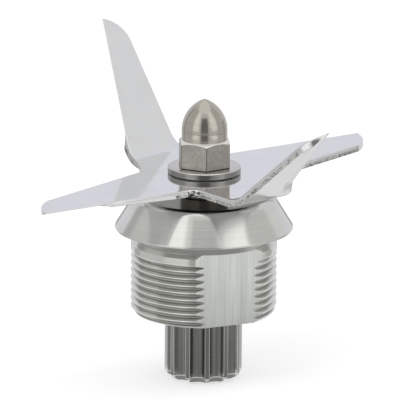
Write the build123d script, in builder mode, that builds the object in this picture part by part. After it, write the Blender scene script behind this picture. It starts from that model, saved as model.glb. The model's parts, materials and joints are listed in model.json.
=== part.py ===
"""Blender blade assembly: a bent four-wing blade on a sealed, bearing-mounted drive shaft.

The frame has +Z up along the shaft. The origin is on the shaft axis at the underside of the
housing flange, the face that seats in the jar. Lengths are millimetres, angles are degrees.
"""

import os
from math import atan2, cos, pi, radians, sin, sqrt, tan

from build123d import *

os.makedirs("parts", exist_ok=True)

# Bearing housing, heights from the flange underside
flange_radius = 18.25
flange_rim_height = 0.4
cone_top_radius = 14.2
cone_height = 7.0
cone_edge_radius = 2.0
top_wall = 1.8
neck_radius = 15.1
relief_radius = 14.2
relief_height = 2.2
thread_radius = 15.0
thread_start_chamfer = 0.8
body_length = 17.7
body_end_chamfer = 1.0
body_flat_wall = 1.9
body_flat_azimuth = -66.0

# Deep groove ball bearings, two alike
bearing_bore = 8.0
bearing_outer_diameter = 22.0
bearing_width = 7.0
ball_diameter = 3.969
ball_count = 7
ball_clearance = 0.14
race_wall = 2.2
shield_seat_wall = 1.4
shield_seat_depth = 0.6
shield_thickness = 0.35
shield_gap = 0.25
cage_wall = 1.6
cage_shield_gap = 0.25
cage_skirt = 1.0

# What spaces, holds and seals the bearings
race_spacing = 1.6
spacer_wall = 1.6
ring_thickness = 1.0
ring_groove_depth = 0.6
ring_lip_height = 1.09
ring_band = 1.7
ring_gap_angle = 44.0
ring_lug_radius = 1.5
ring_lug_hole_radius = 0.7
ring_lug_overhang = 0.5
seal_radius = 9.0
seal_case_wall = 0.6
seal_opening_gap = 1.6
seal_lip_thickness = 0.7
seal_lip_gap = 0.1
seal_lip_clearance = 0.6
garter_wire_radius = 0.45

# Shaft, sleeve and drive
sleeve_wall = 1.0
sleeve_hole_gap = 0.5
blade_seat_height = 10.1
seat_flat_step = 0.2
stud_diameter = 6.0
stud_length = 9.6
stud_end_chamfer = 0.6
spline_diameter = 15.9
spline_length = 13.5
spline_gap = 0.5
flute_count = 12
flute_radius = 1.5
flute_centre_inset = 0.2
flute_land_azimuth = -84.0
spline_chamfer_width = 0.9
spline_chamfer_height = 1.4
spline_neck_wall = 1.8
shaft_end_recess = 0.6
shaft_centre_radius = 1.3

# Blade
blade_thickness = 1.5
flat_wing_azimuth = 42.1
flat_wing_taper = 9.3
flat_wing_offset = 10.5
flat_leading_length = 44.8
flat_trailing_length = 38.0
flat_tip_reach = 44.3
bent_wing_azimuth = 121.1
bent_wing_taper = 7.6
bent_leading_offset = 9.3
bent_trailing_offset = 9.95
bent_leading_length = 51.4
bent_trailing_length = 47.0
bent_tip_reach = 51.1
bent_tip_offset = 1.6
rear_bend_azimuth = 141.3
rear_bend_distance = 15.9
rear_bend_radius = 6.6
rear_bend_angle = 47.7
front_bend_azimuth = 312.5
front_bend_distance = 18.7
front_bend_radius = 8.2
front_bend_angle = 37.7
bend_stations = 4
wide_notch_bend_gap = 0.6
wide_notch_reach = 8.2
wide_notch_sag = 0.3
notch_radius = 2.0
edge_land = 0.2
edge_bevel_width = 4.0
edge_runout = 3.0
flat_edge_start = 27.0

# Washer and nut
washer_diameter = 15.0
washer_thickness = 1.5
washer_edge_chamfer = 0.25
washer_hole_gap = 0.2
nut_across_flats = 10.0
nut_hex_height = 5.6
nut_corner_azimuth = -85.4
nut_corner_drop = 0.55
nut_bevel_inset = 0.25
nut_dome_diameter = 9.4
nut_dome_wall_height = 1.9
nut_dome_height = 8.5
nut_tip_radius = 0.9
nut_thread_clearance = 0.8

# Fits
seat_gap = 0.01
blade_hole_gap = 0.05

# Radii that follow from the bearing and the shaft
bearing_radius = bearing_outer_diameter / 2
shaft_radius = bearing_bore / 2
sleeve_radius = shaft_radius + sleeve_wall
stud_radius = stud_diameter / 2
seat_across_flats = stud_diameter + 2 * seat_flat_step
spline_radius = spline_diameter / 2
spline_neck_radius = shaft_radius + spline_neck_wall
ball_radius = ball_diameter / 2
ball_pitch_radius = (shaft_radius + bearing_radius) / 2
race_radius = ball_radius + ball_clearance
outer_race_shoulder = bearing_radius - race_wall
inner_race_shoulder = shaft_radius + race_wall
shield_seat_radius = bearing_radius - shield_seat_wall
ring_groove_radius = bearing_radius + ring_groove_depth
body_flat_distance = bearing_radius + body_flat_wall
seal_case_opening = sleeve_radius + seal_opening_gap

# Heights that follow from the stack, from the open end of the body up
ring_groove_bottom = -body_length + ring_lip_height
lower_bearing_bottom = ring_groove_bottom + ring_thickness + seat_gap
lower_bearing_top = lower_bearing_bottom + bearing_width
upper_bearing_bottom = lower_bearing_top + race_spacing
upper_bearing_top = upper_bearing_bottom + bearing_width
spline_top = -body_length - spline_gap
spline_bottom = spline_top - spline_length
blade_top = blade_seat_height + blade_thickness
washer_top = blade_top + washer_thickness
nut_hex_top = washer_top + nut_hex_height
seal_top = cone_height - top_wall


def section(points):
    """Closed section in the XZ plane through (radius, height) points."""
    with BuildSketch(Plane.XZ) as drawn:
        with BuildLine():
            Polyline(*points, close=True)
        make_face()
    return drawn.sketch


def ring_section(inner, outer, bottom, top):
    """Rectangular section of a plain turned ring."""
    return section([(inner, bottom), (outer, bottom), (outer, top), (inner, top)])


def finish(part, name):
    """Label a finished piece and write it."""
    part.label = name
    export_step(part, f"parts/{name}.step")


# Bearing housing: turned flange and threaded body with one milled flat
with BuildPart() as bearing_housing:
    relief_end = -relief_height - thread_start_chamfer
    revolve(
        section(
            [
                (sleeve_radius + sleeve_hole_gap, cone_height),
                (cone_top_radius, cone_height),
                (flange_radius, flange_rim_height),
                (flange_radius, 0),
                (neck_radius, 0),
                (relief_radius, -relief_height),
                (thread_radius, relief_end),
                (thread_radius, -body_length + body_end_chamfer),
                (thread_radius - body_end_chamfer, -body_length),
                (bearing_radius, -body_length),
                (bearing_radius, ring_groove_bottom),
                (ring_groove_radius, ring_groove_bottom),
                (ring_groove_radius, lower_bearing_bottom),
                (bearing_radius, lower_bearing_bottom),
                (bearing_radius, upper_bearing_top),
                (seal_radius, upper_bearing_top),
                (seal_radius, seal_top),
                (sleeve_radius + sleeve_hole_gap, seal_top),
            ]
        ),
        axis=Axis.Z,
    )
    cone_edge = edges().filter_by(GeomType.CIRCLE).group_by(Axis.Z)[-1].sort_by(SortBy.RADIUS)[-1]
    fillet(cone_edge, cone_edge_radius)
    flat_plane = Plane.XY.rotated((0, 0, body_flat_azimuth)).offset(-relief_height)
    with BuildSketch(flat_plane):
        with Locations((body_flat_distance, 0)):
            Rectangle(thread_radius, 2 * thread_radius, align=(Align.MIN, Align.CENTER))
    extrude(amount=-body_length, mode=Mode.SUBTRACT)
finish(bearing_housing.part, "bearing_housing")

# Rotary shaft seal: pressed steel case, rubber lip and garter spring
lip_radius = sleeve_radius + seal_lip_gap
lip_outer = lip_radius + seal_lip_thickness
case_floor = seal_top - seal_case_wall
garter_radius = lip_outer + garter_wire_radius
garter_height = upper_bearing_top + seal_lip_clearance + garter_wire_radius

with BuildPart() as seal_case:
    case_outer = seal_radius - seat_gap
    case_inner = case_outer - seal_case_wall
    revolve(
        section(
            [
                (seal_case_opening, seal_top),
                (case_outer, seal_top),
                (case_outer, upper_bearing_top + seat_gap),
                (case_inner, upper_bearing_top + seat_gap),
                (case_inner, case_floor),
                (seal_case_opening, case_floor),
            ]
        ),
        axis=Axis.Z,
    )
finish(seal_case.part, "seal_case")

with BuildPart() as seal_lip:
    pad_bottom = case_floor - seal_lip_thickness
    revolve(
        section(
            [
                (lip_radius + seal_lip_thickness / 2, case_floor),
                (case_inner - seat_gap, case_floor),
                (case_inner - seat_gap, pad_bottom),
                (lip_outer + seal_lip_thickness / 2, pad_bottom),
                (lip_outer, garter_height + garter_wire_radius),
                (lip_outer, garter_height - garter_wire_radius),
                (lip_radius + seal_lip_thickness / 2, garter_height - garter_wire_radius),
                (lip_radius, garter_height),
            ]
        ),
        axis=Axis.Z,
    )
finish(seal_lip.part, "seal_lip")

with BuildPart() as seal_garter_spring:
    with Locations((0, 0, garter_height)):
        Torus(garter_radius + seat_gap, garter_wire_radius)
finish(seal_garter_spring.part, "seal_garter_spring")

# Two ball bearings, each with races, balls, a crown cage and two shields
for bearing, bearing_top in (("upper_bearing", upper_bearing_top), ("lower_bearing", lower_bearing_top)):
    middle = bearing_top - bearing_width / 2
    bearing_bottom = bearing_top - bearing_width
    shield_floor = bearing_width / 2 - shield_seat_depth

    with BuildPart() as outer_race:
        outer = bearing_radius - seat_gap
        revolve(
            section(
                [
                    (outer, bearing_bottom),
                    (outer, bearing_top),
                    (shield_seat_radius, bearing_top),
                    (shield_seat_radius, middle + shield_floor),
                    (outer_race_shoulder, middle + shield_floor),
                    (outer_race_shoulder, middle - shield_floor),
                    (shield_seat_radius, middle - shield_floor),
                    (shield_seat_radius, bearing_bottom),
                ]
            ),
            axis=Axis.Z,
        )
        with Locations((0, 0, middle)):
            Torus(ball_pitch_radius, race_radius, mode=Mode.SUBTRACT)
    finish(outer_race.part, f"{bearing}_outer_race")

    with BuildPart() as inner_race:
        bore = shaft_radius + seat_gap
        revolve(ring_section(bore, inner_race_shoulder, bearing_bottom, bearing_top), axis=Axis.Z)
        with Locations((0, 0, middle)):
            Torus(ball_pitch_radius, race_radius, mode=Mode.SUBTRACT)
    finish(inner_race.part, f"{bearing}_inner_race")

    with BuildPart() as balls:
        with Locations((0, 0, middle)):
            with PolarLocations(ball_pitch_radius, ball_count):
                Sphere(ball_radius)
    finish(balls.part, f"{bearing}_balls")

    with BuildPart() as cage:
        pocket_radius = ball_radius + ball_clearance / 2
        revolve(
            ring_section(
                ball_pitch_radius - cage_wall / 2,
                ball_pitch_radius + cage_wall / 2,
                middle - cage_skirt,
                middle + shield_floor - cage_shield_gap,
            ),
            axis=Axis.Z,
        )
        with Locations((0, 0, middle)):
            with PolarLocations(ball_pitch_radius, ball_count):
                Sphere(pocket_radius, mode=Mode.SUBTRACT)
    finish(cage.part, f"{bearing}_cage")

    shield_inner = inner_race_shoulder + shield_gap
    shield_outer = shield_seat_radius - seat_gap
    shields = (
        ("top_shield", middle + shield_floor, middle + shield_floor + shield_thickness),
        ("bottom_shield", middle - shield_floor - shield_thickness, middle - shield_floor),
    )
    for shield_name, shield_bottom, shield_top in shields:
        with BuildPart() as shield:
            revolve(ring_section(shield_inner, shield_outer, shield_bottom, shield_top), axis=Axis.Z)
        finish(shield.part, f"{bearing}_{shield_name}")

# Spacers that keep the races apart
with BuildPart() as inner_spacer:
    spacer_bore = shaft_radius + seat_gap
    revolve(
        ring_section(spacer_bore, spacer_bore + spacer_wall, lower_bearing_top, upper_bearing_bottom),
        axis=Axis.Z,
    )
finish(inner_spacer.part, "inner_spacer")

with BuildPart() as outer_spacer:
    spacer_edge = bearing_radius - seat_gap
    revolve(
        ring_section(spacer_edge - spacer_wall, spacer_edge, lower_bearing_top, upper_bearing_bottom),
        axis=Axis.Z,
    )
finish(outer_spacer.part, "outer_spacer")

# Internal retaining ring: an open band with two drilled lugs
with BuildPart() as retaining_ring:
    ring_outer = ring_groove_radius - seat_gap
    ring_inner = ring_outer - ring_band
    lug_circle = ring_inner - ring_lug_overhang
    lug_angle = ring_gap_angle / 2
    with BuildSketch(Plane.XY.offset(lower_bearing_bottom)):
        Circle(ring_outer)
        Circle(ring_inner, mode=Mode.SUBTRACT)
        with BuildLine():
            gap_reach = 2 * ring_outer
            gap_side = gap_reach * tan(radians(lug_angle))
            Polyline((0, 0), (gap_reach, gap_side), (gap_reach, -gap_side), close=True)
        make_face(mode=Mode.SUBTRACT)
        with PolarLocations(lug_circle, 2, -lug_angle, ring_gap_angle, endpoint=True):
            Circle(ring_lug_radius)
            Circle(ring_lug_hole_radius, mode=Mode.SUBTRACT)
    extrude(amount=-ring_thickness)
finish(retaining_ring.part, "retaining_ring")

# Spacer sleeve between the upper bearing and the blade
with BuildPart() as shaft_sleeve:
    revolve(
        ring_section(shaft_radius + seat_gap, sleeve_radius, upper_bearing_top, blade_seat_height),
        axis=Axis.Z,
    )
finish(shaft_sleeve.part, "shaft_sleeve")

# Drive shaft: plain journal, two flats at the blade, threaded end under the nut
with BuildPart() as drive_shaft:
    shaft_bottom = spline_bottom + shaft_end_recess
    stud_bottom = blade_top - blade_hole_gap
    stud_top = blade_top + washer_thickness + stud_length
    revolve(
        section(
            [
                (0, shaft_bottom),
                (shaft_radius - stud_end_chamfer, shaft_bottom),
                (shaft_radius, shaft_bottom + stud_end_chamfer),
                (shaft_radius, stud_bottom),
                (stud_radius, stud_bottom),
                (stud_radius, stud_top - stud_end_chamfer),
                (stud_radius - stud_end_chamfer, stud_top),
                (0, stud_top),
            ]
        ),
        axis=Axis.Z,
    )
    with BuildSketch(Plane.XY.offset(blade_seat_height)):
        with Locations((0, seat_across_flats / 2), (0, -seat_across_flats / 2)):
            Rectangle(bearing_bore, bearing_bore)
        Rectangle(bearing_bore, seat_across_flats, mode=Mode.SUBTRACT)
    extrude(amount=blade_thickness, mode=Mode.SUBTRACT)
    with Locations((0, 0, shaft_bottom)):
        Cone(
            shaft_centre_radius,
            0,
            2 * shaft_centre_radius,
            align=(Align.CENTER, Align.CENTER, Align.MIN),
            mode=Mode.SUBTRACT,
        )
finish(drive_shaft.part, "drive_shaft")

# Drive spline: round flutes cut along the barrel, all edges chamfered at the free end
with BuildPart() as drive_spline:
    flute_pitch = 360 / flute_count
    flute_circle = spline_radius - flute_centre_inset
    chamfer_top = spline_bottom + spline_chamfer_height
    bore = shaft_radius + seat_gap
    revolve(
        section(
            [
                (bore, spline_bottom),
                (spline_radius - spline_chamfer_width, spline_bottom),
                (spline_radius, chamfer_top),
                (spline_radius, spline_top),
                (spline_neck_radius, spline_top),
                (spline_neck_radius, lower_bearing_bottom),
                (bore, lower_bearing_bottom),
            ]
        ),
        axis=Axis.Z,
    )
    with BuildSketch(Plane.XY.offset(spline_top)):
        with PolarLocations(flute_circle, flute_count, start_angle=flute_land_azimuth + flute_pitch / 2):
            Circle(flute_radius)
    extrude(amount=-spline_length, mode=Mode.SUBTRACT)
    with Locations((0, 0, spline_bottom)):
        with PolarLocations(flute_circle, flute_count, start_angle=flute_land_azimuth + flute_pitch / 2):
            Cone(
                flute_radius + spline_chamfer_width,
                flute_radius,
                spline_chamfer_height,
                align=(Align.CENTER, Align.CENTER, Align.MIN),
                mode=Mode.SUBTRACT,
            )
finish(drive_spline.part, "drive_spline")


# Blade: wings are drawn flat, then two of them are bent up along their own bend lines
def direction(azimuth):
    """Unit vector in the blade plane."""
    return Vector(cos(radians(azimuth)), sin(radians(azimuth)), 0)


def edge_point(azimuth, offset, along):
    """Point on a straight edge that runs at an azimuth, offset counter-clockwise from the axis."""
    return direction(azimuth) * along + direction(azimuth + 90) * offset


def edge_crossing(azimuth, offset, square_azimuth, distance):
    """Point where a straight edge crosses the line square to another azimuth, at a distance along it."""
    lean = radians(azimuth - square_azimuth)
    return edge_point(azimuth, offset, (distance + offset * sin(lean)) / cos(lean))


def bevel_cutter(start, along, inward, length):
    """Wedge that grinds an edge from below, with a run-out at its root end."""
    slope = (blade_thickness - edge_land) / edge_bevel_width
    margin = blade_thickness
    wedge = [
        (-margin, edge_land - margin * slope),
        (edge_bevel_width + margin, blade_thickness + margin * slope),
        (-margin, blade_thickness + margin * slope),
    ]
    sliver = [(x, y + blade_thickness - edge_land) for x, y in wedge]
    with BuildPart() as cutter:
        for points, station in ((sliver, 0), (wedge, edge_runout)):
            with BuildSketch(Plane(start + along * station, x_dir=inward, z_dir=along)):
                with BuildLine():
                    Polyline(*points, close=True)
                make_face()
        loft(ruled=True)
        with BuildSketch(Plane(start + along * edge_runout, x_dir=inward, z_dir=along)):
            with BuildLine():
                Polyline(*wedge, close=True)
            make_face()
        extrude(amount=length)
    return cutter.part


def bent_wing(turn, bend_azimuth, bend_distance, bend_radius, bend_angle):
    """Wing beyond its bend line: a rolled bend, then the flat tip with its ground edge."""
    leading = bent_wing_azimuth - bent_wing_taper + turn
    trailing = bent_wing_azimuth + bent_wing_taper + turn
    outward = direction(bend_azimuth)
    across = direction(bend_azimuth - 90)
    up = Vector(0, 0, 1)
    bend_arc = bend_radius * radians(bend_angle)

    def across_at(reach):
        """Where the trailing and leading edges cross a line parallel to the bend."""
        trail = edge_crossing(trailing, -bent_trailing_offset, bend_azimuth, reach)
        lead = edge_crossing(leading, bent_leading_offset, bend_azimuth, reach)
        return trail.dot(across), lead.dot(across)

    def station(angle):
        """Top of the sheet and its running direction, part of the way round the bend."""
        swing = radians(angle)
        place = outward * (bend_distance + bend_radius * sin(swing))
        place += up * (blade_top + bend_radius * (1 - cos(swing)))
        return place, outward * cos(swing) + up * sin(swing)

    bend_end, rise = station(bend_angle)
    sheet_normal = across.cross(rise)

    def in_sheet(point):
        """Flat pattern point as coordinates in the bent sheet."""
        return point.dot(across), point.dot(outward) - bend_distance - bend_arc

    trailing_end = in_sheet(edge_point(trailing, -bent_trailing_offset, bent_trailing_length))
    leading_end = in_sheet(edge_point(leading, bent_leading_offset, bent_leading_length))
    tip_middle = in_sheet(edge_point(bent_wing_azimuth + turn, -bent_tip_offset, bent_tip_reach))
    trail, lead = across_at(bend_distance + bend_arc)
    root = bend_end + across * lead
    tip = bend_end + across * leading_end[0] + rise * leading_end[1]
    along = (tip - root).normalized()
    grind = bevel_cutter(root, along, along.cross(sheet_normal), (tip - root).length)

    with BuildPart() as wing:
        for step in range(bend_stations + 1):
            place, run = station(bend_angle * step / bend_stations)
            left, right = across_at(bend_distance + bend_arc * step / bend_stations)
            with BuildSketch(Plane(place, x_dir=across, z_dir=run)):
                with Locations(((left + right) / 2, 0)):
                    Rectangle(right - left, blade_thickness, align=(Align.CENTER, Align.MIN))
        loft()
        with BuildSketch(Plane(bend_end, x_dir=across, z_dir=sheet_normal)):
            with BuildLine():
                Polyline(leading_end, (lead, 0), (trail, 0), trailing_end)
                ThreePointArc(trailing_end, tip_middle, leading_end)
            make_face()
        extrude(amount=-blade_thickness)
        add(grind, mode=Mode.SUBTRACT)
    return wing.part


rear_wing = bent_wing(0, rear_bend_azimuth, rear_bend_distance, rear_bend_radius, rear_bend_angle)
front_wing = bent_wing(180, front_bend_azimuth, front_bend_distance, front_bend_radius, front_bend_angle)
flat_leading = flat_wing_azimuth - flat_wing_taper
flat_trailing = flat_wing_azimuth + flat_wing_taper
flat_grinds = []
for turn in (0, 180):
    grind_start = edge_point(flat_leading + turn, flat_wing_offset, flat_edge_start)
    flat_grinds.append(
        bevel_cutter(
            grind_start + Vector(0, 0, blade_top),
            direction(flat_leading + turn),
            direction(flat_leading + turn - 90),
            flat_leading_length,
        )
    )

with BuildPart() as blade:
    with BuildSketch(Plane.XY.offset(blade_top)) as plate:
        for turn in (0, 180):
            trailing_end = edge_point(flat_trailing + turn, -flat_wing_offset, flat_trailing_length)
            leading_end = edge_point(flat_leading + turn, flat_wing_offset, flat_leading_length)
            with BuildLine():
                Polyline(
                    leading_end,
                    edge_crossing(flat_leading + turn, flat_wing_offset, flat_wing_azimuth + turn, 0),
                    edge_crossing(flat_trailing + turn, -flat_wing_offset, flat_wing_azimuth + turn, 0),
                    trailing_end,
                )
                ThreePointArc(
                    trailing_end, edge_point(flat_wing_azimuth + turn, 0, flat_tip_reach), leading_end
                )
            make_face()
        notches = []
        bends = ((0, rear_bend_azimuth, rear_bend_distance), (180, front_bend_azimuth, front_bend_distance))
        for turn, bend_azimuth, bend_distance in bends:
            leading = bent_wing_azimuth - bent_wing_taper + turn
            trailing = bent_wing_azimuth + bent_wing_taper + turn
            web_distance = bend_distance - wide_notch_bend_gap
            web_start = edge_crossing(leading, bent_leading_offset, bend_azimuth, web_distance)
            web_end = edge_point(flat_trailing + turn + 180, -flat_wing_offset, wide_notch_reach)
            web_inward = (web_end - web_start).normalized().cross(Vector(0, 0, -1))
            web_middle = (web_start + web_end) / 2 + web_inward * wide_notch_sag
            square_to_flat = flat_leading + turn + 90
            notches.append(web_end)
            notches.append(edge_crossing(trailing, -bent_trailing_offset, square_to_flat, flat_wing_offset))
            with BuildLine():
                Polyline(web_end, (0, 0), web_start)
                ThreePointArc(web_start, web_middle, web_end)
            make_face()
            with BuildLine():
                Polyline(
                    edge_point(leading, bent_leading_offset, 0),
                    edge_crossing(leading, bent_leading_offset, bend_azimuth, bend_distance),
                    edge_crossing(trailing, -bent_trailing_offset, bend_azimuth, bend_distance),
                    edge_point(trailing, -bent_trailing_offset, 0),
                    close=True,
                )
            make_face()
        for notch in notches:
            fillet(plate.vertices().sort_by_distance(notch)[0], notch_radius)
    extrude(amount=-blade_thickness)
    add(rear_wing)
    add(front_wing)
    for grind in flat_grinds:
        add(grind, mode=Mode.SUBTRACT)
    with BuildSketch(Plane.XY.offset(blade_top)):
        Circle(shaft_radius + blade_hole_gap)
        Rectangle(
            bearing_bore * 2, seat_across_flats + 2 * blade_hole_gap, mode=Mode.INTERSECT
        )
    extrude(amount=-blade_thickness, mode=Mode.SUBTRACT)
finish(blade.part, "blade")

# Thick flat washer under the nut
with BuildPart() as blade_washer:
    revolve(
        ring_section(stud_radius + washer_hole_gap, washer_diameter / 2, blade_top, washer_top), axis=Axis.Z
    )
    rims = edges().filter_by(GeomType.CIRCLE).sort_by(SortBy.RADIUS)[-2:]
    chamfer(rims, washer_edge_chamfer)
finish(blade_washer.part, "blade_washer")

# Domed nut: chamfered hexagon under an ogive cap, with a blind threaded hole
with BuildPart() as acorn_nut:
    nut_corner_radius = nut_across_flats / sqrt(3)
    with BuildSketch(Plane.XY.offset(washer_top)):
        RegularPolygon(nut_corner_radius, 6, rotation=nut_corner_azimuth)
    extrude(amount=nut_hex_height)
    flat_radius = nut_across_flats / 2
    bevel_top = flat_radius - nut_bevel_inset
    bevel_slope = nut_corner_drop / (nut_corner_radius - bevel_top)
    bevel_reach = nut_corner_radius * 2
    revolve(
        section(
            [
                (bevel_top, nut_hex_top),
                (bevel_reach, nut_hex_top - bevel_slope * (bevel_reach - bevel_top)),
                (bevel_reach, nut_hex_top),
            ]
        ),
        axis=Axis.Z,
        mode=Mode.SUBTRACT,
    )
    dome_radius = nut_dome_diameter / 2
    ogive_base = nut_hex_top + nut_dome_wall_height
    ogive_height = nut_dome_height - nut_dome_wall_height
    ogive_radius = (dome_radius**2 + ogive_height**2) / (2 * dome_radius)
    ogive_inset = ogive_radius - dome_radius
    tip_rise = sqrt((ogive_radius - nut_tip_radius) ** 2 - ogive_inset**2)
    tip_lean = atan2(tip_rise, ogive_inset)

    def on_ogive(angle):
        """Point of the dome's flank, at an angle up from its foot."""
        return ogive_radius * cos(angle) - ogive_inset, ogive_base + ogive_radius * sin(angle)

    def on_tip(angle):
        """Point of the rounded tip, at an angle up from the level."""
        return nut_tip_radius * cos(angle), ogive_base + tip_rise + nut_tip_radius * sin(angle)

    with BuildSketch(Plane.XZ):
        with BuildLine():
            ThreePointArc(on_ogive(0), on_ogive(tip_lean / 2), on_ogive(tip_lean))
            ThreePointArc(on_ogive(tip_lean), on_tip((tip_lean + pi / 2) / 2), on_tip(pi / 2))
            Polyline(on_tip(pi / 2), (0, washer_top), (dome_radius, washer_top), on_ogive(0))
        make_face()
    revolve(axis=Axis.Z)
    with Locations((0, 0, washer_top)):
        Cylinder(
            stud_radius + seat_gap,
            stud_length + nut_thread_clearance,
            align=(Align.CENTER, Align.CENTER, Align.MIN),
            mode=Mode.SUBTRACT,
        )
finish(acorn_nut.part, "acorn_nut")
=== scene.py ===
"""Looks of the blender blade assembly: its surfaces, finishes, studio and camera.

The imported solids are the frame, with +Z up along the shaft and the origin on the shaft axis at the
underside of the housing flange. Sizes in the classes are millimetres and angles are degrees. A mesh
is worked out in millimetres and written in metres.
"""

import json
import logging
from dataclasses import dataclass, field
from enum import Enum
from typing import ClassVar

import bmesh
import bpy
import numpy as np
from mathutils import Matrix, Vector


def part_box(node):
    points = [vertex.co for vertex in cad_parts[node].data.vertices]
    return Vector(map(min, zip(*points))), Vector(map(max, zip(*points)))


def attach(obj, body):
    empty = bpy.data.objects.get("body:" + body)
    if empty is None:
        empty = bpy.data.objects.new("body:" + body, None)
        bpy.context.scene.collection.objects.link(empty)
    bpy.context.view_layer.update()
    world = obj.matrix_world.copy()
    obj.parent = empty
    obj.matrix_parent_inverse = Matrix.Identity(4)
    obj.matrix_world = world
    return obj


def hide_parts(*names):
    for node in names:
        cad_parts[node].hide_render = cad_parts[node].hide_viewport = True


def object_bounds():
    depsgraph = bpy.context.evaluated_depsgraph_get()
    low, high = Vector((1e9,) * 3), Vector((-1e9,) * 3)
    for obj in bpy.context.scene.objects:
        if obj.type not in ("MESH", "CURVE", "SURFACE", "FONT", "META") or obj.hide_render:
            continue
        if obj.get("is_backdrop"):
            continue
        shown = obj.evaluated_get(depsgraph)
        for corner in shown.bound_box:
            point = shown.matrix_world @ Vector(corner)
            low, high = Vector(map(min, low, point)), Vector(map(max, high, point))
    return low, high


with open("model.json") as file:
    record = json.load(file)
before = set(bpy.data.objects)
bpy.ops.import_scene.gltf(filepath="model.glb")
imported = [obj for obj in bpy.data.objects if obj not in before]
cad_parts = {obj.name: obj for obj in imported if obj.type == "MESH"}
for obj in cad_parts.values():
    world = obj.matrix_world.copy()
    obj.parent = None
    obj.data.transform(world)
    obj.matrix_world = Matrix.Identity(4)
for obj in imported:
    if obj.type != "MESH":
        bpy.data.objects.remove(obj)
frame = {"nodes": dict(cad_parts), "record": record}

MM = 0.001
WELD_MM = 1e-4
TINY = 1e-6
CREASE = 34.0
QUARTER_TURN = 0.25
HALF_CIRCLE = 180.0
LOG = logging.getLogger("blade_assembly")
Array = np.ndarray
Triple = tuple[float, float, float]
Colour = Triple
WHITE = (1.0, 1.0, 1.0, 1.0)


# Shared geometry


@dataclass
class Patch:
    """Grid of points that becomes quads.

    Attributes:
        points: Grid of places in millimetres, shaped (rows, columns, 3).
        finish: Material number of the quads, one for all or one for each.
        closed_rows: Whether the last row joins the first.
        closed_columns: Whether the last column joins the first.
    """

    points: Array
    finish: Array | int = 0
    closed_rows: bool = False
    closed_columns: bool = False

    def quads(self, first: int) -> tuple[Array, Array]:
        """Number the corners of the grid's quads.

        Args:
            first: Number of the grid's first point in the whole mesh.

        Returns:
            The corners, shaped (quads, 4), and the finish of each quad.
        """
        number = first + np.arange(self.points[..., 0].size).reshape(self.points.shape[:2])
        if self.closed_rows:
            number = np.vstack([number, number[:1]])
        if self.closed_columns:
            number = np.hstack([number, number[:, :1]])
        corners = np.stack([number[:-1, :-1], number[:-1, 1:], number[1:, 1:], number[1:, :-1]], axis=-1)
        finish = np.broadcast_to(self.finish, corners.shape[:2])
        return corners.reshape(-1, 4), finish.reshape(-1)


def sew(name: str, patches: list[Patch], crease: float = CREASE) -> bpy.types.Object:
    """Join patches into one closed mesh object.

    Points that coincide become one, so seams close. A quad with two corners in one place becomes a
    triangle, which closes poles, and a quad that has shrunk to a line goes.

    Args:
        name: Name of the object.
        patches: Grids whose borders coincide.
        crease: Angle in degrees above which an edge between two faces is drawn sharp.

    Returns:
        The object, linked to the scene, with its place in its mesh.
    """
    points = np.concatenate([patch.points.reshape(-1, 3) for patch in patches])
    firsts = np.cumsum([0] + [patch.points[..., 0].size for patch in patches[:-1]])
    numbered = [patch.quads(first) for patch, first in zip(patches, firsts)]
    corners = np.concatenate([pair[0] for pair in numbered])
    finish = np.concatenate([pair[1] for pair in numbered])
    places = np.round(points / WELD_MM).astype(np.int64)
    _, kept, merged = np.unique(places, axis=0, return_index=True, return_inverse=True)
    corners = merged.reshape(-1)[corners]
    doubled = corners == np.roll(corners, -1, axis=1)
    whole = ~doubled.any(axis=1)
    halved = doubled.sum(axis=1) == 1
    triangles = corners[halved][~doubled[halved]].reshape(-1, 3)
    proper = (triangles != np.roll(triangles, -1, axis=1)).all(axis=1)
    faces = corners[whole].tolist() + triangles[proper].tolist()
    finishes = np.concatenate([finish[whole], finish[halved][proper]])

    mesh = bpy.data.meshes.new(name)
    mesh.from_pydata((points[kept] * MM).tolist(), [], faces)
    mesh.polygons.foreach_set("material_index", finishes.astype(np.int32))
    sewn = bmesh.new()
    sewn.from_mesh(mesh)
    bmesh.ops.recalc_face_normals(sewn, faces=sewn.faces)
    sewn.to_mesh(mesh)
    sewn.free()
    mesh.shade_smooth()
    mesh.set_sharp_from_angle(angle=np.radians(crease))
    piece = bpy.data.objects.new(name, mesh)
    bpy.context.scene.collection.objects.link(piece)
    return piece


def unit(azimuth: Array | float) -> Array:
    """Unit vector in the level plane at an azimuth."""
    angle = np.radians(azimuth)
    return np.stack([np.cos(angle), np.sin(angle)], axis=-1)


def left_of(direction: Array) -> Array:
    """Direction a quarter turn counter-clockwise from another, in the level plane."""
    return np.stack([-direction[..., 1], direction[..., 0]], axis=-1)


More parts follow.
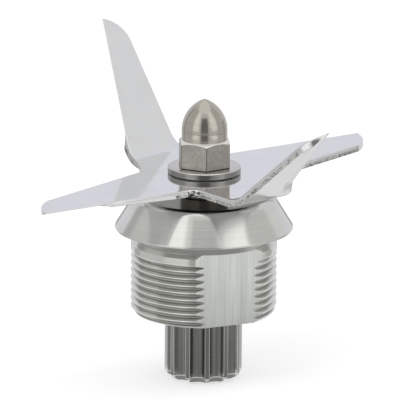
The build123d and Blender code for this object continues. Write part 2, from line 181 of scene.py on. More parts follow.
def rounded_path(corners: Array, radii: Array, steps: int, closed: bool, support: float) -> Array:
    """Polygon with its corners rounded by circular arcs.

    With n the unit normals of the two sides at a corner c, an arc of radius r is
    c + s r (slerp(n1, n2, t) - (n1 + n2) / (1 + n1.n2)), where s is +1 at a left turn and -1 at a
    right turn. A point a short way before and after each arc keeps the straight sides flat.

    Args:
        corners: Corner points, shaped (count, 2).
        radii: Rounding at each corner.
        steps: Chords in each arc.
        closed: Whether the path returns to its start. The ends of an open path stay sharp.
        support: Distance of the extra points from the arcs, as a share of the radius.

    Returns:
        The path's points, shaped (points, 2), without doubles.
    """
    before = np.roll(corners, 1, axis=0)
    after = np.roll(corners, -1, axis=0)
    inward = corners - before
    onward = after - corners
    if not closed:
        inward[0] = onward[0]
        onward[-1] = inward[-1]
    inward = inward / np.linalg.norm(inward, axis=1, keepdims=True)
    onward = onward / np.linalg.norm(onward, axis=1, keepdims=True)
    first, last = -left_of(inward), -left_of(onward)
    cosine = np.clip((first * last).sum(axis=1), -1, 1)
    turn = np.arccos(cosine)
    side = np.sign(inward[:, 0] * onward[:, 1] - inward[:, 1] * onward[:, 0])
    share = np.linspace(0, 1, steps + 1)[None, :, None]
    angle = turn[:, None, None]
    sine = np.maximum(np.sin(angle), TINY)
    blend = (np.sin((1 - share) * angle) * first[:, None] + np.sin(share * angle) * last[:, None]) / sine
    blend = np.where(angle < TINY, first[:, None], blend)
    pull = ((first + last) / (1 + cosine)[:, None])[:, None]
    reach = (side * radii)[:, None, None]
    arcs = corners[:, None] + reach * (blend - pull)
    lead_in = arcs[:, :1] - inward[:, None] * (support * radii)[:, None, None]
    lead_out = arcs[:, -1:] + onward[:, None] * (support * radii)[:, None, None]
    path = np.concatenate([lead_in, arcs, lead_out], axis=1).reshape(-1, 2)
    gaps = np.linalg.norm(path - np.roll(path, 1, axis=0), axis=1)
    keep = gaps > WELD_MM
    if not closed:
        keep[0] = True
    return path[keep]


def arc_through(start: Array, middle: Array, end: Array, share: Array) -> Array:
    """Points of the circle through three points, at shares from 0 at the first to 1 at the last.

    Args:
        start: First point.
        middle: Point that the arc passes.
        end: Last point.
        share: Shares of the arc.

    Returns:
        Points, shaped (shares, 2).
    """
    sides = 2 * np.stack([middle - start, end - start])
    squares = np.array([middle @ middle - start @ start, end @ end - start @ start])
    centre = np.linalg.solve(sides, squares)
    spokes = np.stack([start, middle, end]) - centre
    angles = np.unwrap(np.arctan2(spokes[:, 1], spokes[:, 0]))
    sweep = angles[0] + (angles[2] - angles[0]) * share
    return centre + np.linalg.norm(spokes[0]) * np.stack([np.cos(sweep), np.sin(sweep)], axis=-1)


def around(radius: Array, height: Array, angle: Array) -> Array:
    """Points at cylindrical coordinates: (r cos a, r sin a, z).

    Args:
        radius: Distances from the axis, shaped (rows, columns) or (rows, 1).
        height: Heights, shaped likewise.
        angle: Angles in radians, one for each column.

    Returns:
        Grid of points, shaped (rows, columns, 3).
    """
    radius, height, angle = np.broadcast_arrays(radius, height, angle[None, :])
    return np.stack([radius * np.cos(angle), radius * np.sin(angle), height], axis=-1)


def smooth_step(value: Array) -> Array:
    """Ease from 0 to 1: 3 t t - 2 t t t, held outside."""
    share = np.clip(value, 0, 1)
    return share * share * (3 - 2 * share)


# Node groups that several finishes share


class Tree:
    """Short way to add nodes to a node tree and to link them."""

    def __init__(self, tree: bpy.types.NodeTree) -> None:
        """Keep the tree that the nodes go into."""
        self.tree = tree

    def add(self, kind: str, inputs: dict | None = None, **settings: object) -> bpy.types.Node:
        """Add a node.

        Args:
            kind: Blender's name of the node type.
            inputs: Values or output sockets for the node's inputs, by name or number.
            settings: Properties of the node.

        Returns:
            The node.
        """
        node = self.tree.nodes.new(kind)
        for name, value in settings.items():
            setattr(node, name, value)
        for key, value in (inputs or {}).items():
            if isinstance(value, bpy.types.NodeSocket):
                self.tree.links.new(value, node.inputs[key])
            else:
                node.inputs[key].default_value = value
        return node

    def math(self, operation: str, *values: object) -> bpy.types.NodeSocket:
        """Add a maths node and give its output."""
        return self.add("ShaderNodeMath", dict(enumerate(values)), operation=operation).outputs[0]

    def ramp(
        self,
        value: bpy.types.NodeSocket,
        low: float | bpy.types.NodeSocket,
        high: float | bpy.types.NodeSocket,
        to_low: float = 0.0,
        to_high: float = 1.0,
    ) -> bpy.types.NodeSocket:
        """Map a value from one range to another, held at its ends.

        Args:
            value: Socket that gives the value.
            low: Number or socket for the low end of its range.
            high: Number or socket for the high end of its range.
            to_low: What the low end becomes.
            to_high: What the high end becomes.

        Returns:
            The output.
        """
        inputs = {0: value, 1: low, 2: high, 3: to_low, 4: to_high}
        return self.add("ShaderNodeMapRange", inputs, clamp=True).outputs[0]

    def length(self, x: bpy.types.NodeSocket, y: bpy.types.NodeSocket) -> bpy.types.NodeSocket:
        """Add the nodes for sqrt(x x + y y) and give the output."""
        square = self.math("ADD", self.math("MULTIPLY", x, x), self.math("MULTIPLY", y, y))
        return self.math("SQRT", square)

    def link(self, output: bpy.types.NodeSocket, entry: bpy.types.NodeSocket) -> None:
        """Link an output to an input."""
        self.tree.links.new(output, entry)


def fresh_tree(owner: bpy.types.Material | bpy.types.World) -> Tree:
    """Empty the node tree of a new material or world.

    Args:
        owner: The material or world.

    Returns:
        Helper for its tree.
    """
    owner.use_nodes = True
    owner.node_tree.nodes.clear()
    return Tree(owner.node_tree)


def new_group(name: str, inputs: dict[str, tuple[str, float | None]], outputs: dict[str, str]) -> tuple:
    """Start a node group with named sockets.

    Args:
        name: Name of the group.
        inputs: Socket type and default value by socket name.
        outputs: Socket type by socket name.

    Returns:
        The group, its tree helper, its input node and its output node.
    """
    group = bpy.data.node_groups.new(name, "ShaderNodeTree")
    for label, (kind, value) in inputs.items():
        socket = group.interface.new_socket(label, in_out="INPUT", socket_type=kind)
        if value is not None:
            socket.default_value = value
    for label, kind in outputs.items():
        group.interface.new_socket(label, in_out="OUTPUT", socket_type=kind)
    tree = Tree(group)
    return group, tree, tree.add("NodeGroupInput"), tree.add("NodeGroupOutput")


def lathe_coordinates() -> bpy.types.NodeTree:
    """Group that turns Object coordinates into (radius, height, angle) for turned pieces.

    Returns:
        The group.
    """
    group, tree, given, out = new_group(
        "lathe_coordinates", {"Place": ("NodeSocketVector", None)}, {"Lathe": "NodeSocketVector"}
    )
    axes = tree.add("ShaderNodeSeparateXYZ", {0: given.outputs["Place"]}).outputs
    radius = tree.length(axes[0], axes[1])
    angle = tree.math("ARCTAN2", axes[1], axes[0])
    lathe = tree.add("ShaderNodeCombineXYZ", {0: radius, 1: axes[2], 2: tree.math("MULTIPLY", angle, MM)})
    tree.link(lathe.outputs[0], out.inputs["Lathe"])
    return group


TONE_RANGE = (0.3, 0.7)
FINE_WEIGHT = 0.7
BROAD_WEIGHT = 0.3
BROAD_SCALE = 0.16


def tool_lines() -> bpy.types.NodeTree:
    """Group of fine lines left by a tool: noise on the coordinates given, which draw it out.

    Fine noise and broader noise are added by their weights. The tone is where the sum lies between
    the two tone inputs.

    Returns:
        The group.
    """
    group, tree, given, out = new_group(
        "tool_lines",
        {
            "Place": ("NodeSocketVector", None),
            "Lines per metre": ("NodeSocketFloat", 4000.0),
            "Tone low": ("NodeSocketFloat", TONE_RANGE[0]),
            "Tone high": ("NodeSocketFloat", TONE_RANGE[1]),
        },
        {"Height": "NodeSocketFloat", "Tone": "NodeSocketFloat"},
    )
    place, scale = given.outputs["Place"], given.outputs["Lines per metre"]
    fine = tree.add("ShaderNodeTexNoise", {"Vector": place, "Scale": scale, "Detail": 3.0})
    broad_scale = tree.math("MULTIPLY", scale, BROAD_SCALE)
    broad = tree.add("ShaderNodeTexNoise", {"Vector": place, "Scale": broad_scale, "Detail": 1.0})
    broad_part = tree.math("MULTIPLY", broad.outputs[0], BROAD_WEIGHT)
    mixed = tree.math("MULTIPLY_ADD", fine.outputs[0], FINE_WEIGHT, broad_part)
    tree.link(mixed, out.inputs["Height"])
    tone = tree.ramp(mixed, given.outputs["Tone low"], given.outputs["Tone high"])
    tree.link(tone, out.inputs["Tone"])
    return group


SMUDGES_PER_METRE = 110.0
SMUDGE_RANGE = (0.35, 0.7)
SCRATCHES_PER_METRE = 170.0
SCRATCH_RANGE = (0.66, 0.72)
SCRATCH_TURN = (0.3, 0.2, 0.9)
SCRATCH_STRETCH = (1.0, 14.0, 6.0)


def handling_marks() -> bpy.types.NodeTree:
    """Group of the marks that handling leaves: broad smudges and sparse short hairline scratches.

    Returns:
        The group.
    """
    group, tree, given, out = new_group(
        "handling_marks",
        {"Place": ("NodeSocketVector", None)},
        {"Smudge": "NodeSocketFloat", "Scratch": "NodeSocketFloat"},
    )
    place = given.outputs["Place"]
    cloud = tree.add(
        "ShaderNodeTexNoise", {"Vector": place, "Scale": SMUDGES_PER_METRE, "Detail": 4.0, "Distortion": 0.6}
    )
    drawn_out = tree.add(
        "ShaderNodeMapping", {"Vector": place, "Rotation": SCRATCH_TURN, "Scale": SCRATCH_STRETCH}
    ).outputs[0]
    hair = tree.add(
        "ShaderNodeTexNoise", {"Vector": drawn_out, "Scale": SCRATCHES_PER_METRE, "Detail": 2.0}
    )
    tree.link(tree.ramp(cloud.outputs[0], *SMUDGE_RANGE), out.inputs["Smudge"])
    tree.link(tree.ramp(hair.outputs[0], *SCRATCH_RANGE), out.inputs["Scratch"])
    return group


@dataclass
class SharedGroups:
    """Node groups placed in the materials."""

    lathe: bpy.types.NodeTree = field(default_factory=lathe_coordinates)
    lines: bpy.types.NodeTree = field(default_factory=tool_lines)
    marks: bpy.types.NodeTree = field(default_factory=handling_marks)


# Finishes


class Grain(Enum):
    """Which way the tool lines of a metal run."""

    TURNED = "round the axis"
    UPRIGHT = "up the piece"
    SHEARED = "torn across the sheet"
    GROUND = "across a ground edge"
    SPECKLED = "in short specks"
    POLISHED = "in no direction"


GRAIN_STRETCH: dict[Grain, Triple] = {
    Grain.TURNED: (1.0, 1.0, 0.004),
    Grain.UPRIGHT: (1.0, 1.0, 0.02),
    Grain.SHEARED: (0.8, 0.8, 1.3),
    Grain.GROUND: (0.3, 0.3, 1.0),
    Grain.SPECKLED: (1.0, 1.0, 0.6),
    Grain.POLISHED: (0.25, 0.25, 0.25),
}


@dataclass(frozen=True)
class MetalFinish:
    """Finish of a metal surface.

    Attributes:
        name: Name of the material.
        colour: Linear colour of the clean metal.
        roughness: Roughness where it is clean.
        grain: Way that the tool lines run.
        lines_per_mm: How closely the lines lie.
        line_depth: Depth of the lines in millimetres.
        line_tone: How much the lines darken the metal, from 0 to 1.
        smudge: Roughness that smudges add.
        cloud: How much smudges darken the metal, from 0 to 1.
        anisotropy: Drawn-out highlight of a turned surface.
        tone_range: Range of the lines' noise that goes from dark to clean metal.
        scratch: Roughness that scratches add.
    """

    name: str
    colour: Colour
    roughness: float
    grain: Grain
    lines_per_mm: float
    line_depth: float
    line_tone: float
    smudge: float = 0.05
    cloud: float = 0.04
    anisotropy: float = 0.0
    tone_range: tuple[float, float] = TONE_RANGE
    scratch: float = 0.08

    def material(self, groups: SharedGroups) -> bpy.types.Material:
        """Build the material.

        Args:
            groups: Node groups to place.

        Returns:
            The material, with its patterns on Object coordinates.
        """
        made = bpy.data.materials.new(self.name)
        tree = fresh_tree(made)
        place = tree.add("ShaderNodeTexCoord").outputs["Object"]
        along = place
        if self.grain is Grain.TURNED:
            along = tree.add("ShaderNodeGroup", {"Place": place}, node_tree=groups.lathe).outputs["Lathe"]
        stretched = tree.add("ShaderNodeMapping", {"Vector": along, "Scale": GRAIN_STRETCH[self.grain]})
        pattern = {
            "Place": stretched.outputs[0],
            "Lines per metre": self.lines_per_mm / MM,
            "Tone low": self.tone_range[0],
            "Tone high": self.tone_range[1],
        }
        lines = tree.add("ShaderNodeGroup", pattern, node_tree=groups.lines)
        marks = tree.add("ShaderNodeGroup", {"Place": place}, node_tree=groups.marks)

        shade = tree.ramp(lines.outputs["Tone"], 0.0, 1.0, to_low=1.0 - self.line_tone)
        cloud = tree.ramp(marks.outputs["Smudge"], 0.0, 1.0, to_low=1.0, to_high=1.0 - self.cloud)
        shade = tree.math("MULTIPLY", shade, cloud)
        colours = {0: 1.0, 6: (*self.colour, 1.0), 7: shade}
        tint = tree.add("ShaderNodeMix", colours, data_type="RGBA", blend_type="MULTIPLY")
        rough = tree.math("MULTIPLY_ADD", marks.outputs["Smudge"], self.smudge, self.roughness)
        rough = tree.math("MULTIPLY_ADD", marks.outputs["Scratch"], self.scratch, rough)
        relief = {"Strength": 1.0, "Distance": self.line_depth * MM, "Height": lines.outputs["Height"]}
        bump = tree.add("ShaderNodeBump", relief)
        shader = tree.add(
            "ShaderNodeBsdfPrincipled",
            {
                "Base Color": tint.outputs[2],
                "Metallic": 1.0,
                "Roughness": rough,
                "Normal": bump.outputs[0],
                "Anisotropic": self.anisotropy,
                "Anisotropic Rotation": QUARTER_TURN,
            },
        )
        if self.anisotropy:
            tangent = tree.add("ShaderNodeTangent", direction_type="RADIAL", axis="Z")
            tree.link(tangent.outputs[0], shader.inputs["Tangent"])
        tree.add("ShaderNodeOutputMaterial", {"Surface": shader.outputs[0]})
        return made


@dataclass(frozen=True)
class MouldedFinish:
    """Finish of a moulded rubber or nylon piece.

    Attributes:
        name: Name of the material.
        colour: Linear colour.
        shade: Linear colour of the darker mottling.
        roughness: Roughness of the moulded skin.
        grain_per_mm: How closely the skin's grain lies.
        grain_depth: Depth of the grain in millimetres.
        grain_strength: How strongly the grain shows.
        smudge: Roughness that smudges add.
    """

    name: str
    colour: Colour
    shade: Colour
    roughness: float
    grain_per_mm: float
    grain_depth: float = 0.02
    grain_strength: float = 0.6
    smudge: float = 0.12

    def material(self, groups: SharedGroups) -> bpy.types.Material:
        """Build the material from the shared marks and a fine mould grain.

        Args:
            groups: Node groups to place.

        Returns:
            The material, with its patterns on Object coordinates.
        """
        made = bpy.data.materials.new(self.name)
        tree = fresh_tree(made)
        place = tree.add("ShaderNodeTexCoord").outputs["Object"]
        marks = tree.add("ShaderNodeGroup", {"Place": place}, node_tree=groups.marks)
        pattern = {"Place": place, "Lines per metre": self.grain_per_mm / MM}
        lines = tree.add("ShaderNodeGroup", pattern, node_tree=groups.lines)
        colours = {0: lines.outputs["Tone"], 6: (*self.shade, 1.0), 7: (*self.colour, 1.0)}
        mottle = tree.add("ShaderNodeMix", colours, data_type="RGBA")
        rough = tree.math("MULTIPLY_ADD", marks.outputs["Smudge"], self.smudge, self.roughness)
        height = lines.outputs["Height"]
        relief = {"Strength": self.grain_strength, "Distance": self.grain_depth * MM, "Height": height}
        bump = tree.add("ShaderNodeBump", relief)
        shader = tree.add(
            "ShaderNodeBsdfPrincipled",
            {"Base Color": mottle.outputs[2], "Roughness": rough, "Normal": bump.outputs[0]},
        )
        tree.add("ShaderNodeOutputMaterial", {"Surface": shader.outputs[0]})
        return made


BLADE_POLISH = MetalFinish(
    "polished_blade_faces", (0.80, 0.805, 0.815), 0.05, Grain.POLISHED, 1.2, 0.003, 0.03
)
BLADE_BURNISHED = MetalFinish(
    "burnished_blade_edge", (0.86, 0.86, 0.86), 0.12, Grain.GROUND, 3.0, 0.012, 0.30
)
BLADE_TORN = MetalFinish(
    "torn_blade_edge", (0.78, 0.77, 0.745), 0.18, Grain.SHEARED, 3.6, 0.06, 0.84, tone_range=(0.39, 0.55)
)
BLADE_PITTED = MetalFinish(
    "pitted_blade_corner", (0.80, 0.79, 0.77), 0.16, Grain.SHEARED, 2.4, 0.08, 0.94, tone_range=(0.46, 0.55)
)
BLADE_GROUND = MetalFinish("ground_blade_edge", (0.86, 0.86, 0.87), 0.13, Grain.GROUND, 5.0, 0.006, 0.06)
HOUSING_TURNED = MetalFinish(
    "turned_stainless", (0.76, 0.76, 0.72), 0.13, Grain.TURNED, 3.2, 0.003, 0.12, 0.04, anisotropy=0.8
)
HOUSING_MILLED = MetalFinish("milled_stainless", (0.81, 0.83, 0.795), 0.24, Grain.UPRIGHT, 3.6, 0.010, 0.26)
# Darker copy of the turned stainless: painted shade in the thread's grooves and in the relief under the
# flange.
THREAD_GROOVE_SHADE = MetalFinish(
    "thread_grooves_painted_shade", (0.54, 0.535, 0.51), 0.28, Grain.TURNED, 3.2, 0.003, 0.15
)
# Brighter copy of the turned stainless: painted highlight on the thread's crests and on the end chamfer.
THREAD_CREST_HIGHLIGHT = MetalFinish(
    "thread_crests_painted_highlight", (0.94, 0.94, 0.91), 0.18, Grain.TURNED, 3.2, 0.003, 0.08
)
NUT_SATIN = MetalFinish("satin_nut_stainless", (0.545, 0.508, 0.452), 0.13, Grain.TURNED, 4.0, 0.005, 0.15)
# Darker copy of the washer's satin steel: painted shade on its rim.
WASHER_RIM_SHADE = MetalFinish("washer_rim_painted_shade", (0.36, 0.355, 0.335), 0.22, Grain.TURNED, 3.2, 0.004, 0.22)
WASHER_FACE = MetalFinish("satin_washer_faces", (0.66, 0.65, 0.63), 0.20, Grain.TURNED, 3.2, 0.004, 0.20)
NUT_DRAWN = MetalFinish("drawn_nut_flats", (0.48, 0.455, 0.415), 0.30, Grain.SPECKLED, 2.6, 0.02, 0.38)
# Brighter copy of the turned stainless: painted highlight on the nut's bevel and the washer's upper chamfer.
BEVEL_HIGHLIGHT = MetalFinish("bevel_painted_highlight", (0.88, 0.86, 0.83), 0.22, Grain.TURNED, 3.2, 0.003, 0.10)
# Dark steel: painted shade along the nut's rounded corners, round the nut's foot and on the washer's lower
# chamfer.
PAINTED_SHADE_STEEL = MetalFinish("dark_steel_painted_shade", (0.24, 0.22, 0.20), 0.34, Grain.UPRIGHT, 2.4, 0.004, 0.30)
DRIVE_LAND = MetalFinish("cut_drive_steel", (0.34, 0.34, 0.33), 0.26, Grain.UPRIGHT, 2.0, 0.012, 0.35)
DRIVE_FLUTE = MetalFinish("cut_drive_flutes", (0.42, 0.42, 0.41), 0.25, Grain.UPRIGHT, 2.2, 0.02, 0.60)
# Near-white copy of the drive steel: painted highlight on the lands' edges and the chamfer's rings.
DRIVE_EDGE_HIGHLIGHT = MetalFinish("drive_edges_painted_highlight", (0.96, 0.96, 0.95), 0.18, Grain.UPRIGHT, 2.0, 0.006, 0.15)
# Darker copy of the turned drive steel: painted shade on the flared chamfer, the bore, the neck and the end
# faces.
DRIVE_FLARE_SHADE = MetalFinish("turned_drive_flares_painted_shade", (0.30, 0.30, 0.29), 0.26, Grain.TURNED, 3.0, 0.008, 0.25)
DRIVE_TURNED = MetalFinish("turned_drive_steel", (0.34, 0.34, 0.33), 0.24, Grain.TURNED, 5.0, 0.008, 0.22)
# Near-black steel: painted shade on the sleeve that shows in the gap under the blade.
SLEEVE_SHADE = MetalFinish("sleeve_painted_shade", (0.10, 0.095, 0.08), 0.30, Grain.TURNED, 5.0, 0.008, 0.22)
BEARING_GROUND = MetalFinish("ground_bearing_steel", (0.52, 0.52, 0.53), 0.14, Grain.TURNED, 9.0, 0.003, 0.12)
SHIELD_PLATED = MetalFinish("plated_shield_steel", (0.50, 0.49, 0.46), 0.30, Grain.TURNED, 3.0, 0.006, 0.20)
SPRING_DARK = MetalFinish(
    "phosphated_spring_steel", (0.085, 0.085, 0.09), 0.46, Grain.POLISHED, 12.0, 0.01, 0.35, 0.15
)
SEAL_RUBBER = MouldedFinish("seal_rubber", (0.022, 0.022, 0.022), (0.014, 0.014, 0.015), 0.62, 6.0)
CAGE_NYLON = MouldedFinish("cage_nylon", (0.50, 0.42, 0.28), (0.42, 0.35, 0.23), 0.42, 3.0)


def dress(piece: bpy.types.Object, *materials: bpy.types.Material) -> None:
    """Give a piece its materials in place of any that it came with.

    Args:
        piece: The piece.
        materials: Its materials, in the order of their numbers.
    """
    slots = piece.data.materials
    for number, material in enumerate(materials):
        if number < len(slots):
            slots[number] = material
        else:
            slots.append(material)


# Sub-assemblies


class HousingFace(Enum):
    """Material numbers of the housing."""

    TURNED = 0
    MILLED = 1
    GROOVE = 2
    CREST = 3


@dataclass
class BearingHousing:
    """Turned stainless housing with a cut thread and one milled flat.

    The outline follows the solid. The thread, the roundings and the finish are added here.

    Attributes:
        groove_share: Share of the way from root to crest up to which the thread is a groove, given painted
            shade.
        crest_share: Share of the way from which it is a crest, given painted highlight.
        flat_edge_first: Angle from the flat's middle where its edge can begin.
        flat_edge_last: Angle from its middle by which its edge has ended.
        flat_edge_step: Angle between the columns at its edges.
        flat_columns: Columns over the rest of the flat.
        round_columns: Columns over the round rest of the housing.
        edge_steps: Chords in each rounded edge.
        edge_support: Distance of the extra points from a rounding, as a share of its radius.
        THREAD_MARKS: Distances of the rows below a groove, over half a pitch.
        FLAT_REACH: Cosine of the angle from the flat's middle past which it cuts nothing.
    """

    THREAD_MARKS: ClassVar[Array] = np.array(
        [0.0, 0.06, 0.12, 0.2, 0.35, 0.5, 0.56, 0.60, 0.64, 0.67, 0.70, 0.73]
    )
    FLAT_REACH: ClassVar[float] = 0.5

    flange_radius: float = 18.25
    flange_rim: float = 0.4
    cone_top_radius: float = 14.2
    cone_edge: float = 2.0
    neck_radius: float = 15.1
    relief_radius: float = 14.2
    relief_height: float = 2.2
    thread_radius: float = 15.0
    thread_root: float = 14.08
    thread_pitch: float = 1.5
    thread_root_land: float = 0.12
    thread_crest_round: float = 0.16
    thread_first: float = -4.3
    thread_fade: float = 0.7
    thread_angle: float = 60.0
    thread_phase: float = 0.0
    groove_share: float = 0.2
    crest_share: float = 0.90
    start_chamfer: float = 0.8
    end_chamfer: float = 1.0
    flat_distance: float = 12.9
    flat_azimuth: float = -66.0
    bore_radius: float = 11.0
    groove_radius: float = 11.6
    groove_bottom: float = -16.61
    groove_top: float = -15.6
    seal_radius: float = 9.0
    seal_top: float = 5.2
    hole_radius: float = 5.5
    edge: float = 0.12
    edge_steps: int = 6
    edge_support: float = 0.5
    flat_edge_first: float = 22.5
    flat_edge_last: float = 32.5
    flat_edge_step: float = 0.25
    flat_columns: int = 12
    round_columns: int = 150

    def shell(self, bottom: float, top: float) -> Array:
        """Section of the housing from the thread's foot, up the bores and down over the cone.

        Args:
            bottom: Height of the housing's lower end.
            top: Height of its upper end.

        Returns:
            Points as (radius, height), with small roundings at the edges.
        """
        corners = np.array(
            [
                (self.thread_radius - self.end_chamfer, bottom, 0),
                (self.bore_radius, bottom, self.edge),
                (self.bore_radius, self.groove_bottom, 0),
                (self.groove_radius, self.groove_bottom, 0),
                (self.groove_radius, self.groove_top, 0),
                (self.bore_radius, self.groove_top, 0),
                (self.bore_radius, 0, 0),
                (self.seal_radius, 0, 0),
                (self.seal_radius, self.seal_top, 0),
                (self.hole_radius, self.seal_top, 0),
                (self.hole_radius, top, self.edge),
                (self.cone_top_radius, top, self.cone_edge),
                (self.flange_radius, self.flange_rim, self.edge),
                (self.flange_radius, 0, self.edge),
                (self.neck_radius, 0, self.edge),
                (self.relief_radius, -self.relief_height, self.edge),
                (self.thread_radius, -self.relief_height - self.start_chamfer, self.edge),
                (self.thread_radius, self.thread_first, 0),
            ]
        )
        return rounded_path(corners[:, :2], corners[:, 2], self.edge_steps, False, self.edge_support)

    def columns(self) -> Array:
        """Work out the columns, closer together beside the flat's edges.

        Returns:
            Their angles in radians.
        """
        close = np.arange(self.flat_edge_first, self.flat_edge_last, self.flat_edge_step)
        inside = np.linspace(-close[0], close[0], self.flat_columns)[1:-1]
        outside = np.linspace(close[-1], 360 - close[-1], self.round_columns)[1:-1]
        return np.radians(self.flat_azimuth + np.concatenate([-close[::-1], inside, close, outside]))

    def thread_rows(self, angle: Array, bottom: float) -> Array:
        """Heights of rows that follow the thread's helix.

        A row lies a fixed way below a groove, at phase + pitch x (turns + whole turns) - drop, and is
        held between the thread's ends, where rows run together.

        Args:
            angle: Angles of the columns over one whole turn, both ends included.
            bottom: Height of the thread's foot.

        Returns:
            Heights, shaped (rows, columns).
        """
        helix = self.thread_phase + self.thread_pitch * angle / (2 * np.pi)
        half = self.THREAD_MARKS
        drop = np.concatenate([half, [self.thread_pitch / 2], self.thread_pitch - half[:0:-1]])
        highest = np.ceil((self.thread_first - helix.min()) / self.thread_pitch) + 1
        lowest = np.floor((bottom - helix.max()) / self.thread_pitch)
        whole = self.thread_pitch * np.arange(highest, lowest - 1, -1)
        rows = (whole[:, None] - drop[None, :]).reshape(-1, 1) + helix[None, :]
        return np.clip(rows, bottom, self.thread_first)

    def thread(self, height: Array, angle: Array, bottom: float) -> Array:
        """Radius of a right-hand V thread with rounded crests.

        With t the distance from the nearest groove, measured along the axis after the helix
        z = pitch x turns is taken off, the flank is root + (t - land) tan(60), held above the root. Near
        the crest, where flank and crest differ by less than e, (e - difference)^2 / 4e comes off. The
        depth fades in below the plain collar, and the end chamfer holds the radius below its cone.

        Args:
            height: Heights, shaped (rows, columns).
            angle: Angles of the columns.
            bottom: Height of the thread's foot.

        Returns:
            Radii, shaped (rows, columns).
        """
        turns = (height - self.thread_phase) / self.thread_pitch - angle[None, :] / (2 * np.pi)
        reach = np.abs(turns - np.round(turns)) * self.thread_pitch
        flank = self.thread_root + (reach - self.thread_root_land) * np.tan(np.radians(self.thread_angle))
        near = np.maximum(self.thread_crest_round - np.abs(self.thread_radius - flank), 0)
        cut = np.clip(flank, self.thread_root, self.thread_radius) - near**2 / (4 * self.thread_crest_round)
        depth = (self.thread_radius - cut) * smooth_step((self.thread_first - height) / self.thread_fade)
        chamfer = self.thread_radius - self.end_chamfer + height - bottom
        return np.minimum(self.thread_radius - depth, chamfer)

    def flat(self, angle: Array) -> Array:
        """Distance of the flat from the axis along each column: flat distance / cos(angle from it).

        Args:
            angle: Angles of the columns.

        Returns:
            Distances, past the housing where the flat isn't.
        """
        away = np.cos(angle - np.radians(self.flat_azimuth))
        cut = self.flat_distance / np.maximum(away, self.FLAT_REACH)
        return np.where(away > self.FLAT_REACH, cut, 2 * self.thread_radius)

    @staticmethod
    def faces(on_flat: Array, rest: Array, closed: bool) -> Array:
        """Material number of each quad: milled where all its corners are on the flat.

        Args:
            on_flat: Whether each point is on the flat.
            rest: Material number at each point elsewhere.
            closed: Whether the last column joins the first.

        Returns:
            Numbers, one fewer in each open direction than the points.
        """
        wide = np.hstack([on_flat, on_flat[:, :1]]) if closed else on_flat
        milled = wide[:-1, :-1] & wide[:-1, 1:] & wide[1:, :-1] & wide[1:, 1:]
        rest = np.broadcast_to(rest, on_flat.shape)[:-1, :milled.shape[1]]
        return np.where(milled, HousingFace.MILLED.value, rest)

    def thread_faces(self, radius: Array, height: Array, bottom: float) -> Array:
        """Material number at each point of the thread, by its share of the way from root to crest: painted
        shade in the grooves, painted highlight on the crests.

        Args:
            radius: Radii of the points.
            height: Heights of the points.
            bottom: Height of the thread's foot.

        Returns:
            Numbers, with the end chamfer given the crests' painted highlight.
        """
        share = (radius - self.thread_root) / (self.thread_radius - self.thread_root)
        upper = np.where(share > self.crest_share, HousingFace.CREST.value, HousingFace.TURNED.value)
        kinds = np.where(share < self.groove_share, HousingFace.GROOVE.value, upper)
        # The end chamfer takes the crests' finish: painted highlight.
        chamfered = radius > self.thread_radius - self.end_chamfer + height - bottom - WELD_MM
        return np.where(chamfered, HousingFace.CREST.value, kinds)

    def build(self, groups: SharedGroups) -> bpy.types.Object:
        """Make and dress the housing.

        The radius of the body is the least of the turned section, the thread and the flat.

        Args:
            groups: Shared node groups.

        Returns:
            The piece.
        """
        low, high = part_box("bearing_housing")
        bottom, top = low.z / MM, high.z / MM
        angle = self.columns()
        section = self.shell(bottom, top)
        height = section[:, 1:]
        turned = np.broadcast_to(section[:, :1], (len(section), len(angle)))
        body = (height < -self.relief_height) & (section[:, :1] > self.flat_distance)
        flat = self.flat(angle)[None, :]
        radius = np.where(body, np.minimum(turned, flat), turned)
        # The relief under the flange takes the grooves' darker finish: painted shade.
        relief = (height < -self.edge) & (height > -self.relief_height) & (turned < self.neck_radius)
        relief = relief & (turned > self.flat_distance)
        rest = np.where(relief, HousingFace.GROOVE.value, HousingFace.TURNED.value)
        finish = self.faces(body & (flat < turned), rest, True)
        shell = Patch(around(radius, height, angle), finish, closed_columns=True)
        whole_turn = np.append(angle, angle[0] + 2 * np.pi)
        rows = self.thread_rows(whole_turn, bottom)
        cut = self.thread(rows, whole_turn, bottom)
        flat = self.flat(whole_turn)[None, :]
        finish = self.faces(flat < cut, self.thread_faces(cut, rows, bottom), False)
        thread = Patch(around(np.minimum(cut, flat), rows, whole_turn), finish)
        piece = sew("housing_turned", [shell, thread])
        kinds = (HOUSING_TURNED, HOUSING_MILLED, THREAD_GROOVE_SHADE, THREAD_CREST_HIGHLIGHT)
        dress(piece, *(kind.material(groups) for kind in kinds))
        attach(piece, "housing")
        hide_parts("bearing_housing")
        return piece


